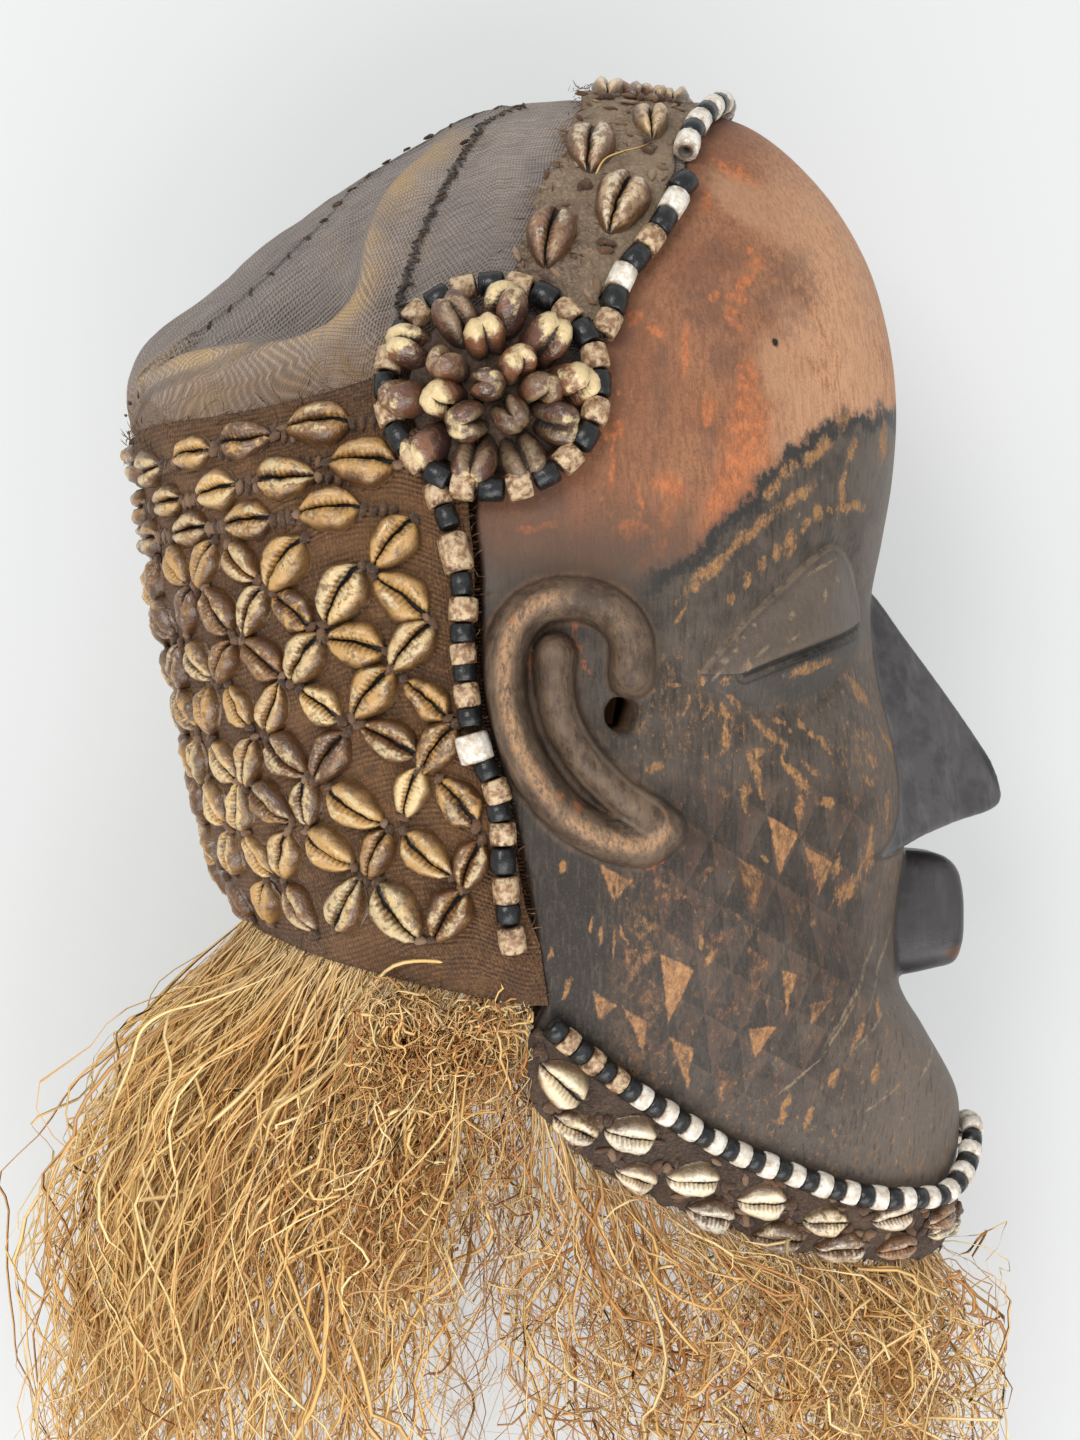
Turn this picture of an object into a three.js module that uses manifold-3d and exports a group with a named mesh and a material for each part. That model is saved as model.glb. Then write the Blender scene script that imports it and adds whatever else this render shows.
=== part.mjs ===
// A carved wooden helmet mask with a cloth hood, sewn with cowrie shells and glass beads,
// and fringed with raffia. It lies on its left side, on its left ear and left temple rosette.
//
// Head frame, in millimetres: +X towards the nose, +Y towards the crown, +Z to the mask's
// right side, with Z 0 at the middle plane. The group at the end sets it down on the floor.

import * as THREE from "three";
import { mergeVertices } from "three/addons/utils/BufferGeometryUtils.js";
import { ConvexGeometry } from "three/addons/geometries/ConvexGeometry.js";
import Module from "manifold-3d";

const wasm = await Module();
wasm.setup();

// Driving dimensions of the head
const HALF_WIDTH = 106; // from the middle plane to the side of the wood
const SIDE_FULLNESS = 2.15; // 2 would be an ellipse from face to ear, more is squarer
const FAN = { x: 0, y: 5 }; // point that the head's outline is measured round
const WOOD_WALL = 14;
const CLOTH = 2.6;
const REST_HEIGHT = 120; // the middle plane stands this far above the floor
const HEAD_AT = { x: 16.2, y: 52.2 }; // puts the middle of the whole mask over the origin
const GAP = 0.4; // room left between pieces that touch
const RIM_SLIT = 2.4; // dark slit between the wood's rear rim and the hood

// Shells and beads
const SHELL = { width: 14.5, height: 8 };
const BEAD = { white: 4.8, black: 4.1, pitch: 7.4, sides: 4 };

// The head's outline in profile, as the hood and the wood have it, without nose and mouth.
// Below the chin and the nape it runs on to a closed egg, which the cut lines take off.
const PROFILE = [
  [135.5, -84], [135.5, -45], [131.5, -8], [127, 24], [126.5, 46], [130.5, 68], [134.5, 92],
  [136, 121], [132.5, 149], [124, 176], [106, 204], [79, 226.5], [46, 234], [12, 237],
  [-20, 232], [-58, 213], [-96, 188], [-129, 161], [-152, 141], [-158, 120], [-154, 102],
  [-150, 84], [-146, 50], [-138, 15], [-131, -17], [-121, -55], [-107, -84], [-103, -122],
  [-86, -158], [-45, -188], [10, -206], [70, -216], [118, -216], [147, -206], [156, -188],
  [159.5, -170], [161, -153], [159.5, -141], [147, -117.5], [138, -102],
];
const CHIN_TAPER = { amount: 0.27, from: 80, to: 210 }; // the sides draw in towards the chin

// Lines drawn on the side of the head, as seen square from the side
const HAIRLINE = [
  [86, 266], [76, 238], [66, 226], [57, 214], [52, 202], [51, 190], [45, 176], [36, 162],
  [28, 151], [24, 137], [18, 126],
];
const TEMPLE_EDGE = [[8, 115], [-4, 104], [-16, 92], [-21, 80], [-22, 68]];
const REAR_RIM = [
  [-20, 50], [-20, 32], [-19.5, 12], [-15.5, -8], [-8.5, -34], [-3, -62], [2, -97],
];
const JAW_STRING = [
  [3, -102], [9, -107.5], [25, -121], [40.5, -132.5], [63.5, -148], [89.5, -160.5],
  [113, -169.5], [134.5, -174], [148, -174], [155.5, -168], [159.5, -160], [162, -154],
  [190, -146],
];
const CROWN_HEM = [
  [-200, 103], [-158, 105], [-103, 108], [-82, 112], [-55, 119], [-32, 120], [-14, 112],
];
const HOOD_HEM = [[-140, -68], [-108, -77], [-73, -84], [-38, -92], [-3, -98]];
const HAIR_BAND_REAR = [
  [14, 266], [17, 238], [9, 206], [0, 184], [-6, 168], [-8, 155], [-4, 144], [6, 132],
];
const CHIN_BAND_LOW = [
  [-4, -131], [12, -149], [28, -163], [56, -178], [94, -193], [122, -199], [148, -200],
  [190, -196],
];
const TEMPLE_STRING = [
  [-31, 66], [-29, 56], [-25.5, 38], [-25, 20], [-24.5, 8], [-22, -8], [-15.5, -24],
  [-12.5, -38], [-11.5, -50], [-10, -71],
];

const BEYOND = 300; // further out than any piece reaches

// Curves

function smooth(points, steps = 8) {
  const curve = new THREE.CatmullRomCurve3(points.map(([x, y]) => new THREE.Vector3(x, y, 0)));
  return curve.getPoints(steps * (points.length - 1)).map((p) => [p.x, p.y]);
}

// The line moved sideways, to the left of its own direction
function shifted(line, distance) {
  return line.map((point, i) => {
    const before = line[Math.max(0, i - 1)];
    const after = line[Math.min(line.length - 1, i + 1)];
    const dx = after[0] - before[0];
    const dy = after[1] - before[1];
    const long = Math.hypot(dx, dy);
    return [point[0] - (dy / long) * distance, point[1] + (dx / long) * distance];
  });
}

// The head's skin

const outlineTable = (() => {
  const curve = new THREE.CatmullRomCurve3(
    PROFILE.map(([x, y]) => new THREE.Vector3(x - FAN.x, y - FAN.y, 0)), true,
  );
  return curve
    .getPoints(720)
    .slice(0, 720)
    .map((p) => ({ angle: Math.atan2(p.y, p.x), radius: Math.hypot(p.x, p.y) }))
    .sort((a, b) => a.angle - b.angle);
})();

// How far the outline is from FAN, in the direction of an angle
function outlineRadius(angle) {
  const turn = 2 * Math.PI;
  const a = THREE.MathUtils.euclideanModulo(angle + Math.PI, turn) - Math.PI;
  const n = outlineTable.length;
  let low = 0;
  let high = n;
  while (low < high) {
    const middle = (low + high) >> 1;
    if (outlineTable[middle].angle < a) low = middle + 1;
    else high = middle;
  }
  const next = outlineTable[low % n];
  const last = outlineTable[(low + n - 1) % n];
  const span = THREE.MathUtils.euclideanModulo(next.angle - last.angle, turn) || 1;
  const share = THREE.MathUtils.euclideanModulo(a - last.angle, turn) / span;
  return last.radius + (next.radius - last.radius) * share;
}

function halfWidth(x, y) {
  const { amount, from, to } = CHIN_TAPER;
  return HALF_WIDTH * (1 - amount * THREE.MathUtils.smoothstep(0.6 * x - 0.8 * y, from, to));
}

// 1 on the skin, less inside, more outside
function skinLevel(x, y, z) {
  const dx = x - FAN.x;
  const dy = y - FAN.y;
  const share = Math.hypot(dx, dy) / outlineRadius(Math.atan2(dy, dx));
  return share ** SIDE_FULLNESS + Math.abs(z / halfWidth(x, y)) ** SIDE_FULLNESS;
}

function skinNormal(p) {
  const e = 0.5;
  return new THREE.Vector3(
    skinLevel(p.x + e, p.y, p.z) - skinLevel(p.x - e, p.y, p.z),
    skinLevel(p.x, p.y + e, p.z) - skinLevel(p.x, p.y - e, p.z),
    skinLevel(p.x, p.y, p.z + e) - skinLevel(p.x, p.y, p.z - e),
  ).normalize();
}

// Point of the skin straight out to the side from (x, y), or null off the head
function sidePoint(x, y, offset = 0, side = 1) {
  const dx = x - FAN.x;
  const dy = y - FAN.y;
  const share = Math.hypot(dx, dy) / outlineRadius(Math.atan2(dy, dx));
  if (share >= 1) return null;
  const z = side * halfWidth(x, y) * (1 - share ** SIDE_FULLNESS) ** (1 / SIDE_FULLNESS);
  const p = new THREE.Vector3(x, y, z);
  return p.addScaledVector(skinNormal(p), offset);
}

// Closed egg of the whole skin, moved out along its normals by offset. It has a corner for
// every given point of the profile, or for every second one.
const TILT_STEPS = 6;
const profileAngles = PROFILE.map(([x, y]) => Math.atan2(y - FAN.y, x - FAN.x));
function egg(offset, every = 1, tiltSteps = TILT_STEPS) {
  const points = [];
  const faces = [];
  const angles = profileAngles.filter((angle, i) => i % every === 0);
  const fanSteps = angles.length;
  const at = (fan, tilt) => {
    const angle = angles[fan];
    const lean = (Math.PI / 2) * (tilt / tiltSteps);
    const share = Math.abs(Math.cos(lean)) ** (2 / SIDE_FULLNESS);
    const rise = Math.abs(Math.sin(lean)) ** (2 / SIDE_FULLNESS) * Math.sign(tilt);
    const radius = outlineRadius(angle) * share;
    const [x, y] = [FAN.x + radius * Math.cos(angle), FAN.y + radius * Math.sin(angle)];
    const p = new THREE.Vector3(x, y, halfWidth(x, y) * rise);
    return p.addScaledVector(skinNormal(p), offset);
  };
  for (let tilt = 1 - tiltSteps; tilt < tiltSteps; tilt++)
    for (let fan = 0; fan < fanSteps; fan++) points.push(at(fan, tilt));
  const leftPole = points.push(new THREE.Vector3(FAN.x, FAN.y, -HALF_WIDTH - offset)) - 1;
  const rightPole = points.push(new THREE.Vector3(FAN.x, FAN.y, HALF_WIDTH + offset)) - 1;
  const rings = 2 * tiltSteps - 1;
  for (let fan = 0; fan < fanSteps; fan++) {
    const next = (fan + 1) % fanSteps;
    for (let ring = 0; ring + 1 < rings; ring++) {
      const [a, b] = [ring * fanSteps + fan, ring * fanSteps + next];
      faces.push([a, b, b + fanSteps], [a, b + fanSteps, a + fanSteps]);
    }
    faces.push([leftPole, next, fan]);
    const last = (rings - 1) * fanSteps;
    faces.push([rightPole, last + fan, last + next]);
  }
  return solid(geometryOf(points, faces));
}

// Solids

function geometryOf(points, faces) {
  const geometry = new THREE.BufferGeometry();
  geometry.setAttribute(
    "position", new THREE.Float32BufferAttribute(points.flatMap((p) => [p.x, p.y, p.z]), 3),
  );
  geometry.setIndex(faces.flat());
  return geometry;
}

function solid(geometry) {
  const bare = geometry.index ? geometry.toNonIndexed() : geometry.clone();
  bare.deleteAttribute("normal");
  bare.deleteAttribute("uv");
  const merged = mergeVertices(bare, 1e-3);
  return new wasm.Manifold(
    new wasm.Mesh({
      numProp: 3,
      vertProperties: merged.attributes.position.array,
      triVerts: new Uint32Array(merged.index.array),
    }),
  );
}

const joined = (solids) => solids.reduce((all, one) => all.add(one));

function hull(points) {
  return solid(new ConvexGeometry(points.map(([x, y, z]) => new THREE.Vector3(x, y, z))));
}

// Upright wall of the region inside a closed line, through the whole head from side to side
function throughHead(line) {
  const shape = new THREE.Shape(line.map(([x, y]) => new THREE.Vector2(x, y)));
  const geometry = new THREE.ExtrudeGeometry(shape, {
    depth: 2 * BEYOND, bevelEnabled: false, curveSegments: 1,
  });
  geometry.translate(0, 0, -BEYOND);
  return solid(geometry);
}

function skinShell(outer, inner, region) {
  return egg(outer).subtract(egg(inner)).intersect(region);
}

// Tube along stations of {center, radius, tall}, standing tall off the skin. An open tube
// has flat ends, a closed one runs round to its start. Three sides lie flat on the skin.
function tube(stations, sides, closed = false) {
  const turned = sides === 3 ? 0.75 : 0.5;
  const points = [];
  const faces = [];
  const count = stations.length;
  const near = (i) => stations[closed ? (i + count) % count : Math.min(count - 1, Math.max(0, i))];
  stations.forEach(({ center, radius, tall = radius }, i) => {
    const along = near(i + 1).center.clone().sub(near(i - 1).center).normalize();
    const skin = skinNormal(center);
    const up = skin.addScaledVector(along, -skin.dot(along)).normalize();
    const across = up.clone().cross(along);
    for (let k = 0; k < sides; k++) {
      const angle = (2 * Math.PI * (k + turned)) / sides;
      points.push(
        center.clone()
          .addScaledVector(across, radius * Math.cos(angle))
          .addScaledVector(up, tall * Math.sin(angle)),
      );
    }
  });
  for (let i = 0; i < (closed ? count : count - 1); i++)
    for (let k = 0; k < sides; k++) {
      const next = (k + 1) % sides;
      const [a, b] = [i * sides + k, i * sides + next];
      const [c, d] = [((i + 1) % count) * sides + k, ((i + 1) % count) * sides + next];
      faces.push([a, b, d], [a, d, c]);
    }
  const last = (count - 1) * sides;
  for (let k = 1; k + 1 < sides && !closed; k++) {
    faces.push([0, k + 1, k]);
    faces.push([last, last + k, last + k + 1]);
  }
  return solid(geometryOf(points, faces));
}

// Lines on the skin

function crossing(inside, outside) {
  let [a, b] = [inside, outside];
  for (let i = 0; i < 30; i++) {
    const middle = [(a[0] + b[0]) / 2, (a[1] + b[1]) / 2];
    if (skinLevel(middle[0], middle[1], 0) < 1) a = middle;
    else b = middle;
  }
  return a;
}

// The line laid on the skin of one side, and over the middle plane to the other side where
// it runs off the head
function lineOnSkin(line, offset, side = 1) {
  const fine = smooth(line, 60);
  const laid = [];
  let meets = null;
  for (let i = 0; i < fine.length && !meets; i++) {
    const p = sidePoint(fine[i][0], fine[i][1], offset, side);
    if (p) laid.push(p);
    else if (laid.length) meets = crossing(fine[i - 1], fine[i]);
  }
  if (!meets) return laid;
  const top = new THREE.Vector3(meets[0], meets[1], 0);
  top.addScaledVector(skinNormal(top), offset);
  const back = laid.map((p) => new THREE.Vector3(p.x, p.y, -p.z)).reverse();
  return [...laid, top, ...back];
}

// Level ring round the back of the head at height y, from x on one side to x on the other
function ringOnSkin(y, frontX, offset) {
  const behind = crossing([FAN.x, y], [-BEYOND, y])[0];
  const half = [];
  const steps = 200;
  for (let i = 0; i < steps; i++) {
    const x = behind + (frontX - behind) * (1 - Math.sin((Math.PI / 2) * (i / steps)));
    const p = sidePoint(x, y, offset);
    if (p) half.push(p);
  }
  const nape = new THREE.Vector3(behind, y, 0);
  nape.addScaledVector(skinNormal(nape), offset);
  const back = half.map((p) => new THREE.Vector3(p.x, p.y, -p.z)).reverse();
  return [...half, nape, ...back];
}

function measured(line) {
  const along = [0];
  for (let i = 1; i < line.length; i++) along.push(along[i - 1] + line[i].distanceTo(line[i - 1]));
  return along;
}

// Point of a line at a distance along it
function pointAt(line, along, distance) {
  let i = 1;
  while (i < along.length - 1 && along[i] < distance) i++;
  const share = (distance - along[i - 1]) / (along[i] - along[i - 1] || 1);
  return line[i - 1].clone().lerp(line[i], share);
}

// Shells and beads

function placed(blank, at, along, up) {
  const x = along.clone().addScaledVector(up, -along.dot(up)).normalize();
  const y = up.clone().cross(x);
  const m = new THREE.Matrix4().makeBasis(x, y, up).setPosition(at);
  return blank.transform(m.toArray());
}

// How far the skin bulges over the middle of a straight line between two of its points
function bulge(from, to, middle, up) {
  const level = (skinLevel(...from.toArray()) + skinLevel(...to.toArray())) / 2;
  let rise = 0;
  while (skinLevel(...middle.clone().addScaledVector(up, rise).toArray()) < level) rise += 0.1;
  return rise;
}

// Cowries on their thread from knot to knot, flat on the skin
const LIFT = 0.9; // knots over the curved cloth
const KNOT = 1.1;
function threadedShells(knots, size = 1) {
  const tall = (SHELL.height * size) / 1.5;
  const stations = [];
  for (let i = 0; i < knots.length; i++) {
    stations.push({ center: knots[i], radius: KNOT });
    if (i + 1 === knots.length) break;
    const middle = knots[i].clone().add(knots[i + 1]).multiplyScalar(0.5);
    const up = skinNormal(middle);
    const rise = bulge(knots[i], knots[i + 1], middle, up) + tall / 2;
    const radius = ((SHELL.width * size) / 2) * 1.1;
    stations.push({ center: middle.addScaledVector(up, rise), radius, tall });
  }
  return tube(stations, 3);
}

function knotsAlong(line, count) {
  const along = measured(line);
  return Array.from({ length: count + 1 }, (_, i) => pointAt(line, along, (along.at(-1) * i) / count));
}

// String of beads along a line, black and white by turns
function beadString(line, pitch = BEAD.pitch, closed = false) {
  const along = measured(line);
  const total = along.at(-1);
  let count = Math.round(total / pitch);
  if (closed) count += count % 2;
  const stations = [];
  for (let i = 0; i <= (closed ? count - 1 : count); i++) {
    const radius = i % 2 ? BEAD.white : BEAD.black;
    stations.push({ center: pointAt(line, along, (total * i) / count), radius });
  }
  return tube(stations, BEAD.sides, closed);
}

function partOf(line, from, to) {
  const along = measured(line);
  const inner = line.filter((p, i) => along[i] > from && along[i] < to);
  return [pointAt(line, along, from), ...inner, pointAt(line, along, to)];
}

// Materials

const finish = (colour, roughness, metalness = 0) =>
  new THREE.MeshStandardMaterial({ color: colour, roughness, metalness });
const wood = finish(0x4a3a30, 0.6);
const crownCloth = finish(0x4c423b, 0.95);
const hoodCloth = finish(0x5b412b, 0.95);
const bandCloth = finish(0x4a3b33, 0.95);
const shellGloss = finish(0xb08a58, 0.35);
const beadGlass = finish(0x8d8579, 0.3);
const raffia = finish(0xb88a4e, 0.8);

const head = new THREE.Group();
function add(name, material, manifold) {
  const m = manifold.getMesh();
  const geometry = new THREE.BufferGeometry();
  const position = new Float32Array(m.numVert * 3);
  for (let i = 0; i < m.numVert; i++)
    position.set(m.vertProperties.subarray(i * m.numProp, i * m.numProp + 3), i * 3);
  geometry.setAttribute("position", new THREE.BufferAttribute(position, 3));
  geometry.setIndex(new THREE.BufferAttribute(new Uint32Array(m.triVerts), 1));
  const mesh = new THREE.Mesh(geometry, material);
  mesh.name = name;
  head.add(mesh);
}

// The wooden face

const hairline = HAIRLINE;
const templeEdge = [HAIRLINE.at(-1), ...TEMPLE_EDGE, ...REAR_RIM];
const jawLine = JAW_STRING;
const WOOD_BELOW_STRING = 10;

function faceRegion() {
  const low = shifted(jawLine, -WOOD_BELOW_STRING);
  return throughHead([
    ...hairline, ...templeEdge.slice(1), ...low, [BEYOND, low.at(-1)[1]], [BEYOND, 266],
  ]);
}

const NOSE = { rootY: 50, tipX: 177.5, tipY: -27, footX: 126, footY: -43, halfWidth: 19 };
function nose() {
  const { rootY, tipX, tipY, footX, footY, halfWidth } = NOSE;
  const points = [];
  for (const side of [-1, 1])
    points.push(
      [118, rootY, side * 3], [131, rootY - 5, side * 2], [tipX - 4, tipY + 8, side * 3],
      [tipX, tipY, side * 3], [tipX - 1, tipY - 4, side * 4], [150, footY + 5, side * 14],
      [footX, footY, side * halfWidth], [118, footY, side * halfWidth], [118, 20, side * 10],
    );
  return hull(points);
}

const MOUTH = { top: -50, bottom: -97, frontX: 160, rootX: 118, halfWidth: 21 };
function mouth() {
  const { top, bottom, frontX, rootX, halfWidth } = MOUTH;
  const points = [];
  for (const [share, inset] of [[1, 7], [0.72, 0]])
    for (const side of [-1, 1]) {
      const z = side * halfWidth * share;
      points.push(
        [rootX, top - inset, z], [frontX - 8, top - 1 - inset, z],
        [frontX - 1 - inset / 4, top - 11, z], [frontX - inset / 4, bottom + 11, z],
        [frontX - 5, bottom + 4 + inset, z], [rootX, bottom + inset, z],
      );
    }
  const lips = hull(points);
  const slot = new THREE.BoxGeometry(12, 5, 1.3 * halfWidth);
  slot.translate(frontX, (top + bottom) / 2, 0);
  return lips.subtract(solid(slot));
}

const EYE = { x: 97, y: 29, half: [33, 17, 10], slant: 17 };
function eye(side) {
  const center = sidePoint(EYE.x, EYE.y, -2, side);
  const normal = skinNormal(center);
  const slant = THREE.MathUtils.degToRad(EYE.slant);
  const along = new THREE.Vector3(Math.cos(slant), Math.sin(slant), 0);
  const ball = new THREE.SphereGeometry(1, 9, 5).scale(...EYE.half);
  return placed(solid(ball), center, along, normal);
}

function eyeSlit(side) {
  const center = sidePoint(EYE.x, EYE.y - 3, 5, side);
  const normal = skinNormal(center);
  const slant = THREE.MathUtils.degToRad(EYE.slant);
  const along = new THREE.Vector3(Math.cos(slant), Math.sin(slant), 0);
  const cut = hull([
    [-27, 0, -5], [27, 0, -5], [0, -1, -5], [0, -3.5, 9], [0, 2.5, 9], [-27, -1, 9], [27, -1, 9],
  ]);
  return placed(cut, center, along, normal);
}

const EAR_RIM = [
  [31, 15], [30.5, 28], [23, 37.5], [10, 41], [-1, 38.5], [-8, 32], [-11.5, 22], [-11.5, 7],
  [-7.5, -7.5], [0, -21.5], [11.5, -34], [25, -40.5], [35.5, -41.5], [41.5, -37],
];
const EAR_RIDGE = [[4.5, 21], [4, 10], [7.5, -2], [15, -15], [25, -26], [36, -34]];
const EAR_HOLE = { x: 27, y: 2, radius: 6 };

function earRoll(line, radius, top, side, steps) {
  const laid = lineOnSkin(line, 0, side);
  const along = measured(laid);
  const total = along.at(-1);
  const stations = [];
  for (let i = 0; i <= steps; i++) {
    const end = i === 0 || i === steps ? 0.55 : 1;
    const center = pointAt(laid, along, (total * i) / steps);
    stations.push({ center, radius: radius * end, tall: top * (0.8 + 0.2 * end) });
  }
  return tube(stations, 6);
}

function earHole(side) {
  const bore = new THREE.CylinderGeometry(EAR_HOLE.radius, EAR_HOLE.radius, 90, 12);
  bore.rotateX(Math.PI / 2).translate(EAR_HOLE.x, EAR_HOLE.y, side * HALF_WIDTH);
  return solid(bore);
}

function floorSlab() {
  const slab = new THREE.BoxGeometry(900, 900, 60);
  slab.translate(0, 0, -REST_HEIGHT - 30);
  return solid(slab);
}

function woodenFace() {
  let face = egg(0);
  for (const side of [-1, 1]) face = face.add(eye(side));
  face = face.add(nose()).add(mouth());
  face = face.subtract(egg(-WOOD_WALL, 2, 4)).intersect(faceRegion());
  for (const side of [-1, 1]) {
    face = face
      .add(earRoll(EAR_RIM, 7.3, 15.8, side, 15))
      .add(earRoll(EAR_RIDGE, 6.3, 11.5, side, 6))
      .subtract(eyeSlit(side))
      .subtract(earHole(side));
  }
  return face.subtract(floorSlab());
}
add("wooden_face", wood, woodenFace());

// The cloth hood, in two pieces, and the two bands sewn over its edges

function crownRegion() {
  const front = shifted([...hairline, ...templeEdge.slice(1, 3)], -GAP);
  const low = shifted(CROWN_HEM, GAP / 2);
  return throughHead([[-BEYOND, 266], ...low, ...front.reverse()]);
}
add("hood_crown", crownCloth, skinShell(-0.4, -0.4 - CLOTH, crownRegion()));

function backRegion() {
  const top = shifted(CROWN_HEM, -GAP / 2);
  const front = shifted(templeEdge.slice(3), -RIM_SLIT);
  const low = [...HOOD_HEM].reverse();
  return throughHead([...top, ...front.slice(0, -1), ...low, [-BEYOND, low.at(-1)[1]]]);
}
add("hood_back", hoodCloth, skinShell(-0.4, -0.4 - CLOTH, backRegion()));

const BAND = 2.4;
function hairBandRegion() {
  const front = shifted(hairline, -5);
  return throughHead([...front, ...[...HAIR_BAND_REAR].reverse()]);
}
add("hair_band", bandCloth, skinShell(GAP + BAND, GAP, hairBandRegion()));

function chinBandRegion() {
  const top = shifted(jawLine, -5.5);
  return throughHead([
    [-4, -108], ...top, [BEYOND, top.at(-1)[1]], [BEYOND, -196],
    ...[...CHIN_BAND_LOW].reverse(),
  ]);
}
add("chin_band", bandCloth, skinShell(GAP + BAND, GAP, chinBandRegion()));

// Cowries sewn on the hood and the bands

// Zigzag rows, whose knots meet the next row's, so that the shells stand in lozenges
const NET = { top: 60, bottom: -72, rows: 8, across: 18, frontTop: -41, frontLow: -23, apart: 2 };
for (let row = 0; row < NET.rows; row++) {
  const { top, bottom, rows, across, frontTop, frontLow, apart } = NET;
  const [upper, lower] = [row, row + 1].map((level, i) => {
    const share = level / rows;
    const y = top + (bottom - top) * share + (i ? apart : -apart);
    return knotsAlong(ringOnSkin(y, frontTop + (frontLow - frontTop) * share, LIFT), across);
  });
  const knots = upper.map((knot, i) => ((i + row) % 2 ? lower[i] : knot));
  add(`cowrie_net_${row + 1}`, shellGloss, threadedShells(knots));
}

const LEVEL_ROWS = [
  { y: 99, front: -66, count: 14 }, { y: 84.5, front: -50, count: 15 },
  { y: 70.5, front: -46, count: 15 },
];
LEVEL_ROWS.forEach(({ y, front, count }, i) => {
  const knots = knotsAlong(ringOnSkin(y, front, LIFT), count);
  add(`cowrie_row_${i + 1}`, shellGloss, threadedShells(knots, 0.88));
});

const ON_BAND = GAP + BAND + LIFT;
const HAIR_ROWS = {
  front: { line: [[27, 167], [34, 192], [41, 214], [50, 232], [56, 246]], count: 6 },
  rear: { line: [[1, 158], [8, 180], [18, 206], [29, 228], [36, 246]], count: 6 },
};
for (const [name, { line, count }] of Object.entries(HAIR_ROWS))
  add(
    `hair_cowries_${name}`, shellGloss,
    threadedShells(knotsAlong(lineOnSkin(line, ON_BAND), count), 0.85),
  );

const CHIN_ROWS = {
  upper: {
    line: [[2, -115], [12, -126.5], [31, -141.5], [53, -157], [79, -169], [103, -178], [130, -182.5],
      [150, -182], [180, -176]],
    count: 16,
  },
  lower: {
    line: [[2, -128], [12, -139], [33, -156.5], [60, -171.5], [84.5, -183], [108, -190.5],
      [131, -193.5], [152, -193.5], [180, -190]],
    count: 16,
  },
};
for (const [name, { line, count }] of Object.entries(CHIN_ROWS))
  add(
    `chin_cowries_${name}`, shellGloss,
    threadedShells(knotsAlong(lineOnSkin(line, ON_BAND), count), 0.8),
  );

// Bead strings

const ON_WOOD = BEAD.white + 0.5;
const HAIR_STRING = { start: 18, broken: 109, again: 117 }; // lengths from the right temple
const hairString = lineOnSkin([...HAIRLINE].reverse(), ON_WOOD);
const hairStringLong = measured(hairString).at(-1);
const { start, broken, again } = HAIR_STRING;
add("hairline_beads_right", beadGlass, beadString(partOf(hairString, start, broken)));
add(
  "hairline_beads_top", beadGlass,
  beadString(partOf(hairString, again, hairStringLong - start)),
);

add("jaw_beads", beadGlass, beadString(lineOnSkin(JAW_STRING, ON_WOOD), 5.7));

for (const [name, side] of [["right", 1], ["left", -1]])
  add(`temple_beads_${name}`, beadGlass, beadString(lineOnSkin(TEMPLE_STRING, ON_WOOD, side)));

// Temple rosettes: cowries standing on end on a round pad, inside a ring of beads

const ROSETTE = {
  x: -15.5, y: 111.5, lean: 0.3, top: REST_HEIGHT + 0.5, padRadius: 26, ringRadius: 35.5,
  shell: [6, 5, 11.5],
  rings: [
    { count: 1, radius: 0, tilt: 0 }, { count: 7, radius: 13, tilt: 16 },
    { count: 10, radius: 26, tilt: 34 },
  ],
};

function rosetteFrame(side) {
  const foot = sidePoint(ROSETTE.x, ROSETTE.y, GAP + BAND, side);
  const up = skinNormal(foot).multiplyScalar(ROSETTE.lean);
  up.add(new THREE.Vector3(0, 0, side)).normalize();
  const along = new THREE.Vector3(1, 0, 0).addScaledVector(up, -up.x).normalize();
  return { foot, up, along, across: up.clone().cross(along) };
}

function rosetteRing(side) {
  const { foot, up, along, across } = rosetteFrame(side);
  const line = [];
  for (let i = 0; i <= 120; i++) {
    const angle = (2 * Math.PI * i) / 120;
    const p = foot.clone()
      .addScaledVector(along, ROSETTE.ringRadius * Math.cos(angle))
      .addScaledVector(across, ROSETTE.ringRadius * Math.sin(angle));
    line.push(sidePoint(p.x, p.y, GAP + BAND + BEAD.white + 0.6, side));
  }
  return line;
}

function rosette(side) {
  const { foot, up, along, across } = rosetteFrame(side);
  const pad = new THREE.CylinderGeometry(ROSETTE.padRadius, ROSETTE.padRadius, 24, 12);
  pad.rotateX(Math.PI / 2);
  let body = placed(solid(pad), foot.clone().addScaledVector(up, -5), along, up);
  const [wide, thick, half] = ROSETTE.shell;
  const rise = (ROSETTE.top - Math.abs(foot.z)) / Math.abs(up.z);
  for (const { count, radius, tilt } of ROSETTE.rings)
    for (let i = 0; i < count; i++) {
      const angle = (2 * Math.PI * (i + 0.5 * (count % 2))) / count;
      const out = along.clone().multiplyScalar(Math.cos(angle));
      out.addScaledVector(across, Math.sin(angle));
      const lean = THREE.MathUtils.degToRad(tilt);
      const way = up.clone().multiplyScalar(Math.cos(lean)).addScaledVector(out, Math.sin(lean));
      const reach = rise - (radius * radius) / 130;
      const center = foot.clone().addScaledVector(up, reach - half * Math.cos(lean));
      center.addScaledVector(out, radius + 2);
      const shell = new THREE.SphereGeometry(1, 4, 3);
      shell.rotateX(Math.PI / 2).scale(wide, thick, half);
      body = body.add(placed(solid(shell), center, out.cross(way), way));
    }
  return body;
}

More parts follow.
